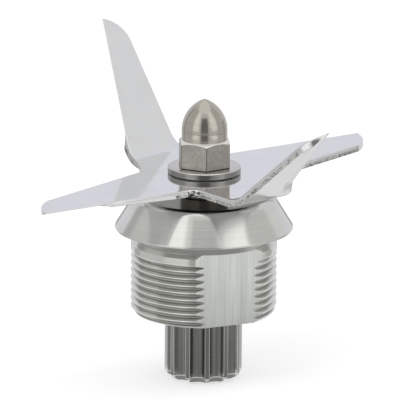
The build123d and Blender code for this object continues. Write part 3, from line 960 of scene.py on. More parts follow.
@dataclass(frozen=True)
class Bend:
    """Rolled bend of a wing, with an angle of 0 for a flat one."""

    azimuth: float = 0.0
    distance: float = 0.0
    radius: float = 1.0
    angle: float = 0.0

    def arc(self) -> float:
        """Length of the bend along the sheet's top."""
        return self.radius * np.radians(self.angle)

    def fold(self, plan: Array, depth: Array, top: float) -> Array:
        """Fold a flat pattern up along the bend line.

        With q the distance of a point past the bend line, a = q / R held between 0 and the bend's
        angle, and s the straight rest past the bend, the sheet's top goes to
        R sin a + s cos b outwards and R (1 - cos a) + s sin b upwards. Depth goes down the normal.

        Args:
            plan: Flat pattern points, shaped (..., 2).
            depth: Depth below the sheet's top, shaped (...).
            top: Height of the flat sheet's top.

        Returns:
            Points in space, shaped (..., 3).
        """
        outward, limit = unit(self.azimuth), np.radians(self.angle)
        past = plan @ outward - self.distance
        swing = np.clip(past / self.radius, 0, limit)
        rest = np.maximum(past - self.arc(), 0)
        out = np.minimum(past, 0) + self.radius * np.sin(swing) + rest * np.cos(limit) + depth * np.sin(swing)
        up = top + self.radius * (1 - np.cos(swing)) + rest * np.sin(limit) - depth * np.cos(swing)
        level = plan + (out - past)[..., None] * outward
        return np.concatenate([level, up[..., None]], axis=-1)


@dataclass(frozen=True)
class Edge:
    """Straight side of a wing: it runs at an azimuth, offset counter-clockwise from the axis."""

    azimuth: float
    offset: float
    length: float

    def at(self, along: Array | float) -> Array:
        """Points at distances along the edge."""
        return np.multiply.outer(along, unit(self.azimuth)) + self.offset * unit(self.azimuth + 90)

    def reaching(self, azimuth: float, distance: Array | float) -> Array | float:
        """Distance along the edge where it crosses the line square to an azimuth.

        Args:
            azimuth: Azimuth that the line is square to.
            distance: Distance of the line from the axis.

        Returns:
            Distances along the edge.
        """
        lean = np.radians(self.azimuth - azimuth)
        return (distance + self.offset * np.sin(lean)) / np.cos(lean)


class BladeFace(Enum):
    """Material numbers of the blade."""

    POLISHED = 0
    BURNISHED = 1
    TORN = 2
    GROUND = 3
    PITTED = 4


@dataclass(frozen=True)
class ShearedSide:
    """Side of a sheared sheet: rolled over at the top, burnished, then torn down to a small burr edge.

    Attributes:
        roll: Radius of the rolled top edge.
        burr: Radius of the bottom edge.
        lean: Angle at which the torn part leans in.
        ARC: Angles of the points on a rounded edge.
        WALL: Points down the wall between the rounded edges, as shares of it.
    """

    ARC: ClassVar[Array] = np.radians([30.0, 60.0, 90.0])
    WALL: ClassVar[Array] = np.array([0.06, 0.40, 0.44, 0.94])

    roll: float = 0.28
    burr: float = 0.08
    lean: float = 4.0

    def faces(self) -> Array:
        """Choose the finish of the quads down the side, from the top face to the bottom face.

        Returns:
            Their material numbers.
        """
        upper = [BladeFace.POLISHED] * len(self.ARC) + [BladeFace.BURNISHED] * 2
        lower = [BladeFace.TORN] * (len(self.ARC) + 2) + [BladeFace.POLISHED]
        return np.array([kind.value for kind in upper + lower])

    def section(self, point: Array, inward: Array, limit: Array, depth: Array) -> tuple[Array, Array, Array]:
        """Points down the side, from just past the top face to just before the bottom face.

        The side is a quarter circle, a straight wall and a quarter circle. At an angle a on the upper
        circle of radius r, the point is r (1 - sin a) in from the side and r (1 - cos a) down. The torn
        part of the wall goes in by its depth times tan(lean).

        Args:
            point: Points along the side, shaped (rows, 2).
            inward: Directions into the sheet.
            limit: Largest radius at each point.
            depth: Thickness of the sheet at each point.

        Returns:
            Plan points, shaped (rows, columns, 2), their depths, and the upper radius of each row.
        """
        held = np.minimum(limit, depth / 2)
        roll, burr = np.minimum(self.roll, held)[:, None], np.minimum(self.burr, held)[:, None]
        wall = roll + (depth[:, None] - roll - burr) * self.WALL
        leaning = np.maximum(wall - wall[:, 1:2], 0) * np.tan(np.radians(self.lean))
        lower = 1 - np.cos(self.ARC[::-1])
        fall = np.concatenate([roll * (1 - np.cos(self.ARC)), wall, depth[:, None] - burr * lower], axis=1)
        upper_inset = roll * (1 - np.sin(self.ARC))
        lower_inset = leaning[:, -1:] + burr * (1 - np.sin(self.ARC[::-1]))
        inset = np.concatenate([upper_inset, leaning, lower_inset], axis=1)
        return point[:, None] + inward[:, None] * inset[..., None], fall, roll[:, 0]


@dataclass
class Wing:
    """One wing of the blade, from its root row to its tip.

    Attributes:
        leading: Ground edge, on the counter-clockwise side.
        trailing: Sheared edge, on the clockwise side.
        tip_middle: Point that the tip's arc passes.
        leading_along: Distances of the rows along the leading edge, up to the tip.
        trailing_along: Distances of the same rows along the trailing edge.
        grind_start: Distance along the leading edge where its grinding begins.
        bend: How the wing is bent.
        thickness: Thickness of the sheet.
        land: Thickness left at the ground edge.
        bevel: Width of the ground bevel.
        runout: Length over which the grinding reaches its depth.
        lead_in: Length before that over which the grinding comes in slowly.
        lead_share: Share of the cut that the lead-in leaves.
        bare_share: Share of the thickness under which the whole side is ground.
        side: Shape of the sheet's sides.
        tip_rows: Rows along the tip's arc.
        BEVEL_MARKS: Columns across the ground bevel, as shares of its width.
        SHEET_SHARES: Columns across the rest of the sheet, as shares of it.
    """

    BEVEL_MARKS: ClassVar[Array] = np.array([0.0, 0.06, 0.35, 0.6, 0.85, 0.97, 1.03])
    SHEET_SHARES: ClassVar[Array] = np.array([0.2, 0.4, 0.6, 0.8, 0.98, 1.0])

    leading: Edge
    trailing: Edge
    tip_middle: Array
    leading_along: Array
    trailing_along: Array
    grind_start: float
    bend: Bend
    thickness: float = 1.5
    land: float = 0.2
    bevel: float = 4.0
    runout: float = 3.0
    lead_in: float = 0.0
    lead_share: float = 1.0
    bare_share: float = 1.0
    side: ShearedSide = ShearedSide()
    tip_rows: int = 26

    def ground_depth(self, plan: Array) -> Array:
        """Thickness of the sheet at a point of the flat pattern.

        It is land + slope x distance from the ground edge, plus what the grinding has not yet cut,
        and at most the sheet's thickness. What is left to cut falls in a straight line over the
        lead-in, and in a steeper one over the run-out.

        Args:
            plan: Points of the flat pattern, shaped (..., 2).

        Returns:
            Thicknesses, shaped (...).
        """
        direction = unit(self.leading.azimuth)
        inward = self.leading.offset - plan @ left_of(direction)
        along = plan @ direction - self.grind_start
        full = self.thickness - self.land
        left = np.interp(along, [-self.lead_in, 0, self.runout], [1, self.lead_share, 0])
        cut = self.land + full / self.bevel * inward + full * left
        return np.minimum(self.thickness, np.maximum(cut, self.land))

    def outline(self) -> tuple[Array, Array, Array, Array]:
        """Both sides of the wing, row by row, with the tip's arc on the trailing side.

        Returns:
            Leading points, trailing points, and the directions into the sheet from each.
        """
        share = np.linspace(0, 1, self.tip_rows + 1)[1:]
        tip_along = self.leading_along[-1] + (self.leading.length - self.leading_along[-1]) * share
        lead = self.leading.at(np.concatenate([self.leading_along, tip_along]))
        trail = self.trailing.at(self.trailing_along)
        arc = arc_through(trail[-1], self.tip_middle, lead[-1], share)
        trail = np.concatenate([trail, arc])
        running = np.gradient(trail, axis=0)
        running = running / np.linalg.norm(running, axis=1, keepdims=True)
        lead_inward = np.broadcast_to(-unit(self.leading.azimuth + 90), lead.shape)
        return lead, trail, lead_inward, left_of(running)

    def patch(self) -> tuple[Array, Array, Array]:
        """Closed section of every row of the flat pattern.

        Each row runs over the top from the leading to the trailing side, round that side, back under
        the sheet and round the leading side.

        Returns:
            Plan points, shaped (rows, columns, 2), their depths, and the finish of each quad.
        """
        lead, trail, lead_inward, trail_inward = self.outline()
        width = np.linalg.norm(trail - lead, axis=1)
        lead_depth, trail_depth = self.ground_depth(lead), self.ground_depth(trail)
        trail_wall, trail_fall, trail_roll = self.side.section(trail, trail_inward, width / 4, trail_depth)
        lead_wall, lead_fall, lead_roll = self.side.section(lead, lead_inward, width / 4, lead_depth)
        start = lead + lead_inward * lead_roll[:, None]
        end = trail + trail_inward * trail_roll[:, None]
        across = np.maximum(((end - lead) * lead_inward).sum(axis=1) - lead_roll, TINY)
        near = np.clip(self.BEVEL_MARKS[None, :] * self.bevel / across[:, None], 0, 1)
        past_bevel = near[:, -1:] + (1 - near[:, -1:]) * self.SHEET_SHARES[None, :]
        share = np.concatenate([near, past_bevel], axis=1)
        sheet = start[:, None] + share[..., None] * (end - start)[:, None]
        below = sheet[:, ::-1]
        plan = np.concatenate([sheet, trail_wall, below, lead_wall[:, ::-1]], axis=1)
        under = self.ground_depth(below)
        depth = np.concatenate([np.zeros(share.shape), trail_fall, under, lead_fall[:, ::-1]], axis=1)
        faces, sheet_faces = self.side.faces(), np.full(share.shape[1] - 1, BladeFace.POLISHED.value)
        kinds = np.concatenate([sheet_faces, faces, sheet_faces, faces[::-1]])
        finish = np.tile(kinds, (len(plan) - 1, 1))
        first_under = len(sheet_faces) + len(faces)
        tip = finish[len(self.trailing_along) - 1:, len(sheet_faces):first_under]
        tip[tip == BladeFace.TORN.value] = BladeFace.BURNISHED.value
        ground = np.zeros(finish.shape, dtype=bool)
        cut = under[:-1] < self.thickness - WELD_MM
        first_lead = first_under + len(sheet_faces)
        ground[:, first_under:first_lead] = cut[:, 1:] | cut[:, :-1]
        thinned = (lead_depth[:-1] < self.thickness - WELD_MM)[:, None]
        bare = (lead_depth[:-1] < self.thickness * self.bare_share - WELD_MM)[:, None]
        ground[:, first_lead:] = bare | thinned & (finish[:, first_lead:] == BladeFace.TORN.value)
        finish[ground] = BladeFace.GROUND.value
        return plan, depth, finish

    def sheet_columns(self) -> slice:
        """Columns of a row that lie on the top of the sheet."""
        return slice(0, len(self.BEVEL_MARKS) + len(self.SHEET_SHARES))


@dataclass
class Blade:
    """Four-wing blade from one sheet: two flat wings and two bent up, each with a ground edge.

    Attributes:
        flat_rows: Rows of a flat wing up to its tip.
        bent_rows: Rows of a bent wing from its bend to its tip.
        bend_rows: Rows over a bend.
        notch_steps: Chords in each rounded corner of a notch.
        hub_rings: Rings from the hole to the outline.
        crease: Angle above which an edge is drawn sharp.
        NOTCH_ROUND: Rows of a narrow notch that lie in its rounded corner, where the side is pitted.
    """

    NOTCH_ROUND: ClassVar[slice] = slice(1, -2)

    flat_azimuth: float = 42.1
    flat_taper: float = 9.3
    flat_offset: float = 10.5
    flat_leading: float = 44.8
    flat_trailing: float = 38.0
    flat_tip_reach: float = 44.3
    flat_grind_start: float = 28.2
    flat_runout: float = 1.4
    flat_lead_in: float = 15.0
    flat_lead_share: float = 0.58
    flat_bare_share: float = 0.7
    bent_azimuth: float = 121.1
    bent_taper: float = 7.6
    bent_leading_offset: float = 9.3
    bent_trailing_offset: float = 9.95
    bent_leading: float = 51.4
    bent_trailing: float = 47.0
    bent_tip_reach: float = 51.1
    bent_tip_offset: float = 1.6
    rear_bend: Bend = Bend(141.3, 15.9, 6.6, 47.7)
    front_bend: Bend = Bend(312.5, 18.7, 8.2, 37.7)
    notch_radius: float = 2.0
    wide_notch_reach: float = 8.2
    wide_notch_sag: float = 0.3
    wide_notch_bend_gap: float = 0.6
    web_radius: float = 40.0
    root_gap: float = 0.4
    hole_radius: float = 4.05
    hole_half_flats: float = 3.25
    flat_rows: int = 36
    bent_rows: int = 26
    bend_rows: int = 15
    notch_steps: int = 10
    hub_rings: int = 12
    crease: float = 40.0

    def top(self) -> float:
        """Height of the flat sheet's top, where the washer sits."""
        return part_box("blade_washer")[0].z / MM

    def flat_wing(self, turn: float) -> Wing:
        """Flat wing.

        Args:
            turn: Angle that the wing is turned by about the axis.

        Returns:
            The wing, with rows from past the notches beside it to the tip.
        """
        axis = self.flat_azimuth + turn
        leading = Edge(axis - self.flat_taper, self.flat_offset, self.flat_leading)
        trailing = Edge(axis + self.flat_taper, -self.flat_offset, self.flat_trailing)
        bent_trailing = Edge(self.bent_azimuth + self.bent_taper + turn, -self.bent_trailing_offset, 0)
        crossing = bent_trailing.at(bent_trailing.reaching(leading.azimuth + 90, self.flat_offset))
        past_notch = 2 * self.notch_radius
        lead_root = crossing @ unit(leading.azimuth) + past_notch
        return Wing(
            leading,
            trailing,
            unit(axis) * self.flat_tip_reach,
            np.linspace(lead_root, trailing.length, self.flat_rows),
            np.linspace(self.wide_notch_reach + past_notch, trailing.length, self.flat_rows),
            self.flat_grind_start,
            Bend(),
            runout=self.flat_runout,
            lead_in=self.flat_lead_in,
            lead_share=self.flat_lead_share,
            bare_share=self.flat_bare_share,
        )

    def bent_wing(self, turn: float, bend: Bend) -> Wing:
        """Wing that is bent up.

        Args:
            turn: Angle that the wing is turned by about the axis.
            bend: Its bend.

        Returns:
            The wing, with rows along the bend and on to the tip.
        """
        axis = self.bent_azimuth + turn
        leading = Edge(axis - self.bent_taper, self.bent_leading_offset, self.bent_leading)
        trailing = Edge(axis + self.bent_taper, -self.bent_trailing_offset, self.bent_trailing)
        over_bend = np.linspace(0, bend.arc(), self.bend_rows)
        past = np.concatenate([[-self.root_gap], over_bend, [bend.arc() + self.root_gap]])
        reach = bend.distance + past
        lead_rows = leading.reaching(bend.azimuth, reach)
        trail_rows = trailing.reaching(bend.azimuth, reach)
        return Wing(
            leading,
            trailing,
            unit(axis) * self.bent_tip_reach - unit(axis + 90) * self.bent_tip_offset,
            np.concatenate([lead_rows, np.linspace(lead_rows[-1], trailing.length, self.bent_rows)[1:]]),
            np.concatenate([trail_rows, np.linspace(trail_rows[-1], trailing.length, self.bent_rows)[1:]]),
            leading.reaching(bend.azimuth, bend.distance + bend.arc()),
            bend,
        )

    def notch(self, wing: Wing, following: Wing) -> Array:
        """Outline between one wing's leading side and the next wing's trailing side.

        Args:
            wing: Wing whose leading side the notch leaves.
            following: Next wing counter-clockwise.

        Returns:
            Points from root to root, shaped (points, 2).
        """
        start = wing.leading.at(wing.leading_along[0])
        end = following.trailing.at(following.trailing_along[0])
        if wing.bend.angle:
            gap = wing.bend.distance - self.wide_notch_bend_gap
            web_start = wing.leading.at(wing.leading.reaching(wing.bend.azimuth, gap))
            web_end = following.trailing.at(self.wide_notch_reach)
            chord = web_end - web_start
            sag = left_of(chord / np.linalg.norm(chord)) * self.wide_notch_sag
            corners = [start, web_start, (web_start + web_end) / 2 + sag, web_end, end]
            radii = [0, 0, self.web_radius, self.notch_radius, 0]
        else:
            square = wing.leading.azimuth + 90
            crossing = following.trailing.at(following.trailing.reaching(square, wing.leading.offset))
            corners = [start, crossing, end]
            radii = [0, self.notch_radius, 0]
        return rounded_path(np.array(corners), np.array(radii, dtype=float), self.notch_steps, False, 0.0)

    def hub(self, wings: list[Wing], plans: list[Array]) -> list[Patch]:
        """Flat middle of the blade, the sides of its notches and its two-sided hole.

        The rings run straight from the hole, whose radius is the lesser of its circle and its flats,
        to the outline made of the wings' root rows and the notches.

        Args:
            wings: Wings in counter-clockwise order.
            plans: Plan points of each wing's rows.

        Returns:
            Patches that meet the wings point for point.
        """
        top, thickness = self.top(), wings[0].thickness
        border, patches = [], []
        for number, wing in enumerate(wings):
            following = wings[(number + 1) % len(wings)]
            path = self.notch(wing, following)
            running = np.gradient(path, axis=0)
            running[0] = -unit(wing.leading.azimuth)
            running[-1] = unit(following.trailing.azimuth)
            inward = left_of(running / np.linalg.norm(running, axis=1, keepdims=True))
            depth = np.full(len(path), thickness)
            wall, fall, roll = wing.side.section(path, inward, depth, depth)
            inset = path + inward * roll[:, None]
            plan = np.concatenate([inset[:, None], wall, inset[:, None]], axis=1)
            down = np.concatenate([np.zeros((len(path), 1)), fall, depth[:, None]], axis=1)
            finish = np.tile(wing.side.faces(), (len(path) - 1, 1))
            if not wing.bend.angle:
                finish[self.NOTCH_ROUND, len(wing.side.ARC):] = BladeFace.PITTED.value
            patches.append(Patch(Bend().fold(plan, down, top), finish))
            border += [plans[number][0, wing.sheet_columns()][::-1], inset[1:-1]]
        rim = np.concatenate(border)
        angle = np.arctan2(rim[:, 1], rim[:, 0])
        flats = self.hole_half_flats / np.maximum(np.abs(np.sin(angle)), TINY)
        radius = np.minimum(self.hole_radius, flats)
        hole = radius[:, None] * np.stack([np.cos(angle), np.sin(angle)], axis=-1)
        share = np.linspace(0, 1, self.hub_rings)[:, None, None]
        rings = hole[None] + share * (rim - hole)[None]
        for depth in (0.0, thickness):
            face = Bend().fold(rings, np.full(rings.shape[:2], depth), top)
            patches.append(Patch(face, BladeFace.POLISHED.value, closed_columns=True))
        wall = np.repeat(hole[None], 2, axis=0)
        levels = np.broadcast_to([[0.0], [thickness]], wall.shape[:2])
        patches.append(Patch(Bend().fold(wall, levels, top), BladeFace.TORN.value, closed_columns=True))
        return patches

    def build(self, groups: SharedGroups) -> bpy.types.Object:
        """Make and dress the blade.

        Args:
            groups: Shared node groups.

        Returns:
            The piece.
        """
        wings = [
            self.flat_wing(0),
            self.bent_wing(0, self.rear_bend),
            self.flat_wing(180),
            self.bent_wing(180, self.front_bend),
        ]
        plans, patches = [], []
        for wing in wings:
            plan, depth, finish = wing.patch()
            plans.append(plan)
            patches.append(Patch(wing.bend.fold(plan, depth, self.top()), finish, closed_columns=True))
        piece = sew("blade_ground", patches + self.hub(wings, plans), self.crease)
        kinds = (BLADE_POLISH, BLADE_BURNISHED, BLADE_TORN, BLADE_GROUND, BLADE_PITTED)
        dress(piece, *(kind.material(groups) for kind in kinds))
        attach(piece, "rotor")
        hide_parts("blade")
        return piece


class WasherFace(Enum):
    """Material numbers of the washer."""

    RIM = 0
    BEVEL = 1
    FLAT = 2
    UNDERCUT = 3


@dataclass
class BladeWasher:
    """Thick flat washer with rounded edges."""

    bore_radius: float = 3.2
    chamfer: float = 0.25
    edge: float = 0.08
    edge_steps: int = 3
    edge_support: float = 0.6
    columns: int = 160

    def build(self, groups: SharedGroups) -> bpy.types.Object:
        """Make and dress the washer: a chamfered section carried round the axis.

        Args:
            groups: Shared node groups.

        Returns:
            The piece.
        """
        low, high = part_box("blade_washer")
        outer, bottom, top = high.x / MM, low.z / MM, high.z / MM
        corners = np.array(
            [
                (self.bore_radius, bottom, 0),
                (outer - self.chamfer, bottom, self.edge),
                (outer, bottom + self.chamfer, self.edge),
                (outer, top - self.chamfer, self.edge),
                (outer - self.chamfer, top, self.edge),
                (self.bore_radius, top, self.edge),
            ]
        )
        section = rounded_path(corners[:, :2], corners[:, 2], self.edge_steps, True, self.edge_support)
        angle = np.linspace(0, 2 * np.pi, self.columns, endpoint=False)
        step = np.roll(section, -1, axis=0) - section
        level = np.abs(step[:, 1]) < WELD_MM
        sloped = (np.abs(step[:, 0]) > self.edge) & (np.abs(step[:, 1]) > self.edge)
        # The rim and the lower chamfer get painted shade, the upper chamfer painted highlight.
        lower = section[:, 1] < (bottom + top) / 2
        bevel = np.where(lower, WasherFace.UNDERCUT.value, WasherFace.BEVEL.value)
        kinds = np.where(level, WasherFace.FLAT.value, np.where(sloped, bevel, WasherFace.RIM.value))
        finish = np.repeat(kinds[:, None], self.columns, axis=1)
        points = around(section[:, :1], section[:, 1:], angle)
        grid = Patch(points, finish, closed_rows=True, closed_columns=True)
        piece = sew("washer_turned", [grid])
        dress(piece, *(kind.material(groups) for kind in (WASHER_RIM_SHADE, BEVEL_HIGHLIGHT, WASHER_FACE, PAINTED_SHADE_STEEL)))
        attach(piece, "rotor")
        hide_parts("blade_washer")
        return piece


class NutFace(Enum):
    """Material numbers of the nut."""

    TURNED = 0
    DRAWN = 1
    BEVEL = 2
    CORNER = 3


@dataclass
class AcornNut:
    """Domed nut: a hexagon with rounded corners and bevels under an ogive cap.

    The small steps are the rows that round an edge, each one a distance along the radius and a height.

    Attributes:
        foot_slope: How far the bevel under the hexagon goes in for each step down.
        crease_start: Distance under the dome's flank where the crease round it begins.
        crease_middle: Distance under the flank where the crease is deepest.
        flank_rows: Rows up the dome's flank.
        tip_rows: Rows over its tip.
        CORNERS: Corners of the hexagon.
        SIXTH: Angle from one corner to the next, in radians.
        CORNER_MARKS: Angles of the columns from a corner, nearly to the middle of a flat.
        FOOT_STEPS: Rows from the foot's edge, the first on the bevel and the others up the side.
        SHOULDER_STEPS: Rows from the shoulder, two down the side and two on the cone.
        CONE_STEPS: Rows from the cone's inner end.
        WALL_STEPS: Heights of the rows at the foot of the dome's upright wall.
        DOME_PASSES: Passes that settle the height at which the flank would meet the axis.
    """

    CORNERS: ClassVar[int] = 6
    SIXTH: ClassVar[float] = 2 * np.pi / CORNERS
    CORNER_MARKS: ClassVar[Array] = np.array(
        [0.0, 0.35, 0.7, 1.05, 1.4, 1.8, 2.6, 4.0, 7.0, 11.0, 16.0, 22.0]
    )
    FOOT_STEPS: ClassVar[tuple] = ((-0.02, -0.01), (0.0, 0.04), (0.0, 0.1))
    SHOULDER_STEPS: ClassVar[tuple] = ((0.0, -0.12), (0.0, -0.05), (-0.03, -0.0154), (-0.09, 0.0))
    CONE_STEPS: ClassVar[tuple] = ((0.06, 0.0), (0.0, 0.01))
    WALL_STEPS: ClassVar[tuple] = (0.06, 0.2)
    DOME_PASSES: ClassVar[int] = 12

    across_flats: float = 10.0
    hex_height: float = 5.6
    corner_azimuth: float = -85.4
    corner_round: float = 0.22
    corner_drop: float = 0.55
    bevel_inset: float = 0.25
    foot_drop: float = 0.12
    dome_radius: float = 4.7
    dome_wall: float = 1.9
    crease_start: float = 0.18
    crease_middle: float = 0.08
    crease_depth: float = 0.06
    tip_radius: float = 0.9
    hole_radius: float = 3.01
    hole_depth: float = 10.4
    foot_slope: float = 1.4
    flank_rows: int = 26
    tip_rows: int = 9

    def hexagon(self, angle: Array) -> Array:
        """Radius of the hexagon with rounded corners.

        A flat is h / cos(angle from its normal). Near a corner it is the far side of a circle of
        radius r centred on the corner's line at c = (h - r) / cos 30: c cos e + sqrt(r r - (c sin e)^2).

        Args:
            angle: Angles in radians.

        Returns:
            Radii.
        """
        half, r = self.across_flats / 2, self.corner_round
        off_corner = self.off_corner(angle)
        centre = (half - r) / np.cos(self.SIXTH / 2)
        flat = half / np.cos(self.SIXTH / 2 - np.abs(off_corner))
        inside = np.maximum(r * r - (centre * np.sin(off_corner)) ** 2, 0)
        round_part = centre * np.cos(off_corner) + np.sqrt(inside)
        return np.where(np.abs(off_corner) < self.corner_reach(), round_part, flat)

    def off_corner(self, angle: Array) -> Array:
        """Angle from the nearest corner in radians."""
        off = angle - np.radians(self.corner_azimuth)
        return off - self.SIXTH * np.round(off / self.SIXTH)

    def corner_reach(self) -> float:
        """Work out how far a corner's rounding reaches.

        Returns:
            Angle from the corner to its end, in radians.
        """
        half, r = self.across_flats / 2, self.corner_round
        centre = (half - r) / np.cos(self.SIXTH / 2)
        return np.arctan2(r * np.sin(self.SIXTH / 2), centre + r * np.cos(self.SIXTH / 2))

    def columns(self) -> Array:
        """Work out the columns, closer together at the corners.

        Returns:
            Their angles in radians.
        """
        near, sixth = self.CORNER_MARKS, np.degrees(self.SIXTH)
        pitch = np.concatenate([near, [sixth / 2], (sixth - near[1:])[::-1]])
        turns = sixth * np.arange(self.CORNERS)
        return np.radians(self.corner_azimuth + (pitch[None, :] + turns[:, None]).ravel())

    def dome(self, base: float, apex: float) -> Array:
        """Section of the ogive cap as (radius, height) points, from its foot to its apex.

        The flank is an arc that leaves the wall upright and would meet the axis a rise h above its
        foot, so its radius is (f f + h h) / 2 f with f the foot's radius. A small circle tangent to it
        rounds the tip. Each pass adds to h what the rounded tip still lacks of the apex.

        Args:
            base: Height of the flank's foot.
            apex: Height of the rounded tip.

        Returns:
            Points, shaped (points, 2).
        """
        foot = self.dome_radius
        rise = apex - base
        for _ in range(self.DOME_PASSES):
            arc = (foot**2 + rise**2) / (2 * foot)
            inset = arc - foot
            tip = np.sqrt((arc - self.tip_radius) ** 2 - inset**2)
            rise += (apex - base) - (tip + self.tip_radius)
        lean = np.arctan2(tip, inset)
        flank = np.linspace(0, lean, self.flank_rows)
        cap = np.linspace(lean, np.pi / 2, self.tip_rows)[1:]
        flank_points = np.stack([arc * np.cos(flank) - inset, base + arc * np.sin(flank)], axis=-1)
        cap_points = self.tip_radius * np.stack([np.cos(cap), np.sin(cap)], axis=-1) + (0, base + tip)
        return np.concatenate([flank_points, cap_points])

    def build(self, groups: SharedGroups) -> bpy.types.Object:
        """Make and dress the nut.

        The rows run from the top of the blind hole, down it, under the hexagon, up its sides to the
        bevel cone z = top - slope (r - inner), in along the cone and over the dome.

        Args:
            groups: Shared node groups.

        Returns:
            The piece.
        """
        low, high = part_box("acorn_nut")
        bottom, apex = low.z / MM, high.z / MM
        angle = self.columns()
        side = self.hexagon(angle)
        hex_top = bottom + self.hex_height
        corner = self.across_flats / np.sqrt(3)
        inner = self.across_flats / 2 - self.bevel_inset
        slope = self.corner_drop / (corner - inner)
        shoulder = hex_top - slope * (side - inner)
        foot = bottom + self.foot_drop
        foot_side = side - self.foot_drop * self.foot_slope
        hole_top = bottom + self.hole_depth
        wall_top = hex_top + self.dome_wall
        at_foot = [(side + out, foot + up) for out, up in self.FOOT_STEPS]
        at_shoulder = [(side + out, shoulder - slope * out + up) for out, up in self.SHOULDER_STEPS]
        at_cone = [(inner + out, hex_top - slope * out + up) for out, up in self.CONE_STEPS]
        hole = [(0.0, hole_top), (self.hole_radius, hole_top), (self.hole_radius, bottom)]
        inside = hole + [(foot_side, bottom), at_foot[0]]
        flats = at_foot[1:] + at_shoulder[:2]
        bevel = at_shoulder[2:] + at_cone
        wall = [(self.dome_radius, hex_top + up) for up in self.WALL_STEPS]
        wall += [
            (self.dome_radius, wall_top - self.crease_start),
            (self.dome_radius - self.crease_depth, wall_top - self.crease_middle),
        ]
        section = inside + flats + bevel + wall
        level = np.ones_like(side)
        rows = np.array([(radius * level, height * level) for radius, height in section])
        cap = self.dome(wall_top, apex)[:, :, None] * level
        radius, height = np.moveaxis(np.concatenate([rows, cap]), 1, 0)
        finish = np.full((len(radius) - 1, len(angle)), NutFace.TURNED.value)
        flats_end = len(inside) + len(flats)
        finish[len(inside):flats_end - 1] = NutFace.DRAWN.value
        # The hexagon's rounded corners and the two rows at its foot get painted shade.
        rounded = np.abs(self.off_corner(angle)) < self.corner_reach()
        finish[len(inside):flats_end - 1, rounded & np.roll(rounded, -1)] = NutFace.CORNER.value
        finish[len(inside) - 2:len(inside)] = NutFace.CORNER.value
        # The hexagon's top bevel gets painted highlight.
        finish[flats_end - 1:flats_end + len(bevel) - 1] = NutFace.BEVEL.value
        grid = Patch(around(np.maximum(radius, 0), height, angle), finish, closed_columns=True)
        piece = sew("nut_domed", [grid])
        dress(piece, *(kind.material(groups) for kind in (NUT_SATIN, NUT_DRAWN, BEVEL_HIGHLIGHT, PAINTED_SHADE_STEEL)))
        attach(piece, "rotor")
        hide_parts("acorn_nut")
        return piece


class DriveFace(Enum):
    """Material numbers of the drive spline."""

    LAND = 0
    FLUTE = 1
    EDGE = 2
    FLARE = 3


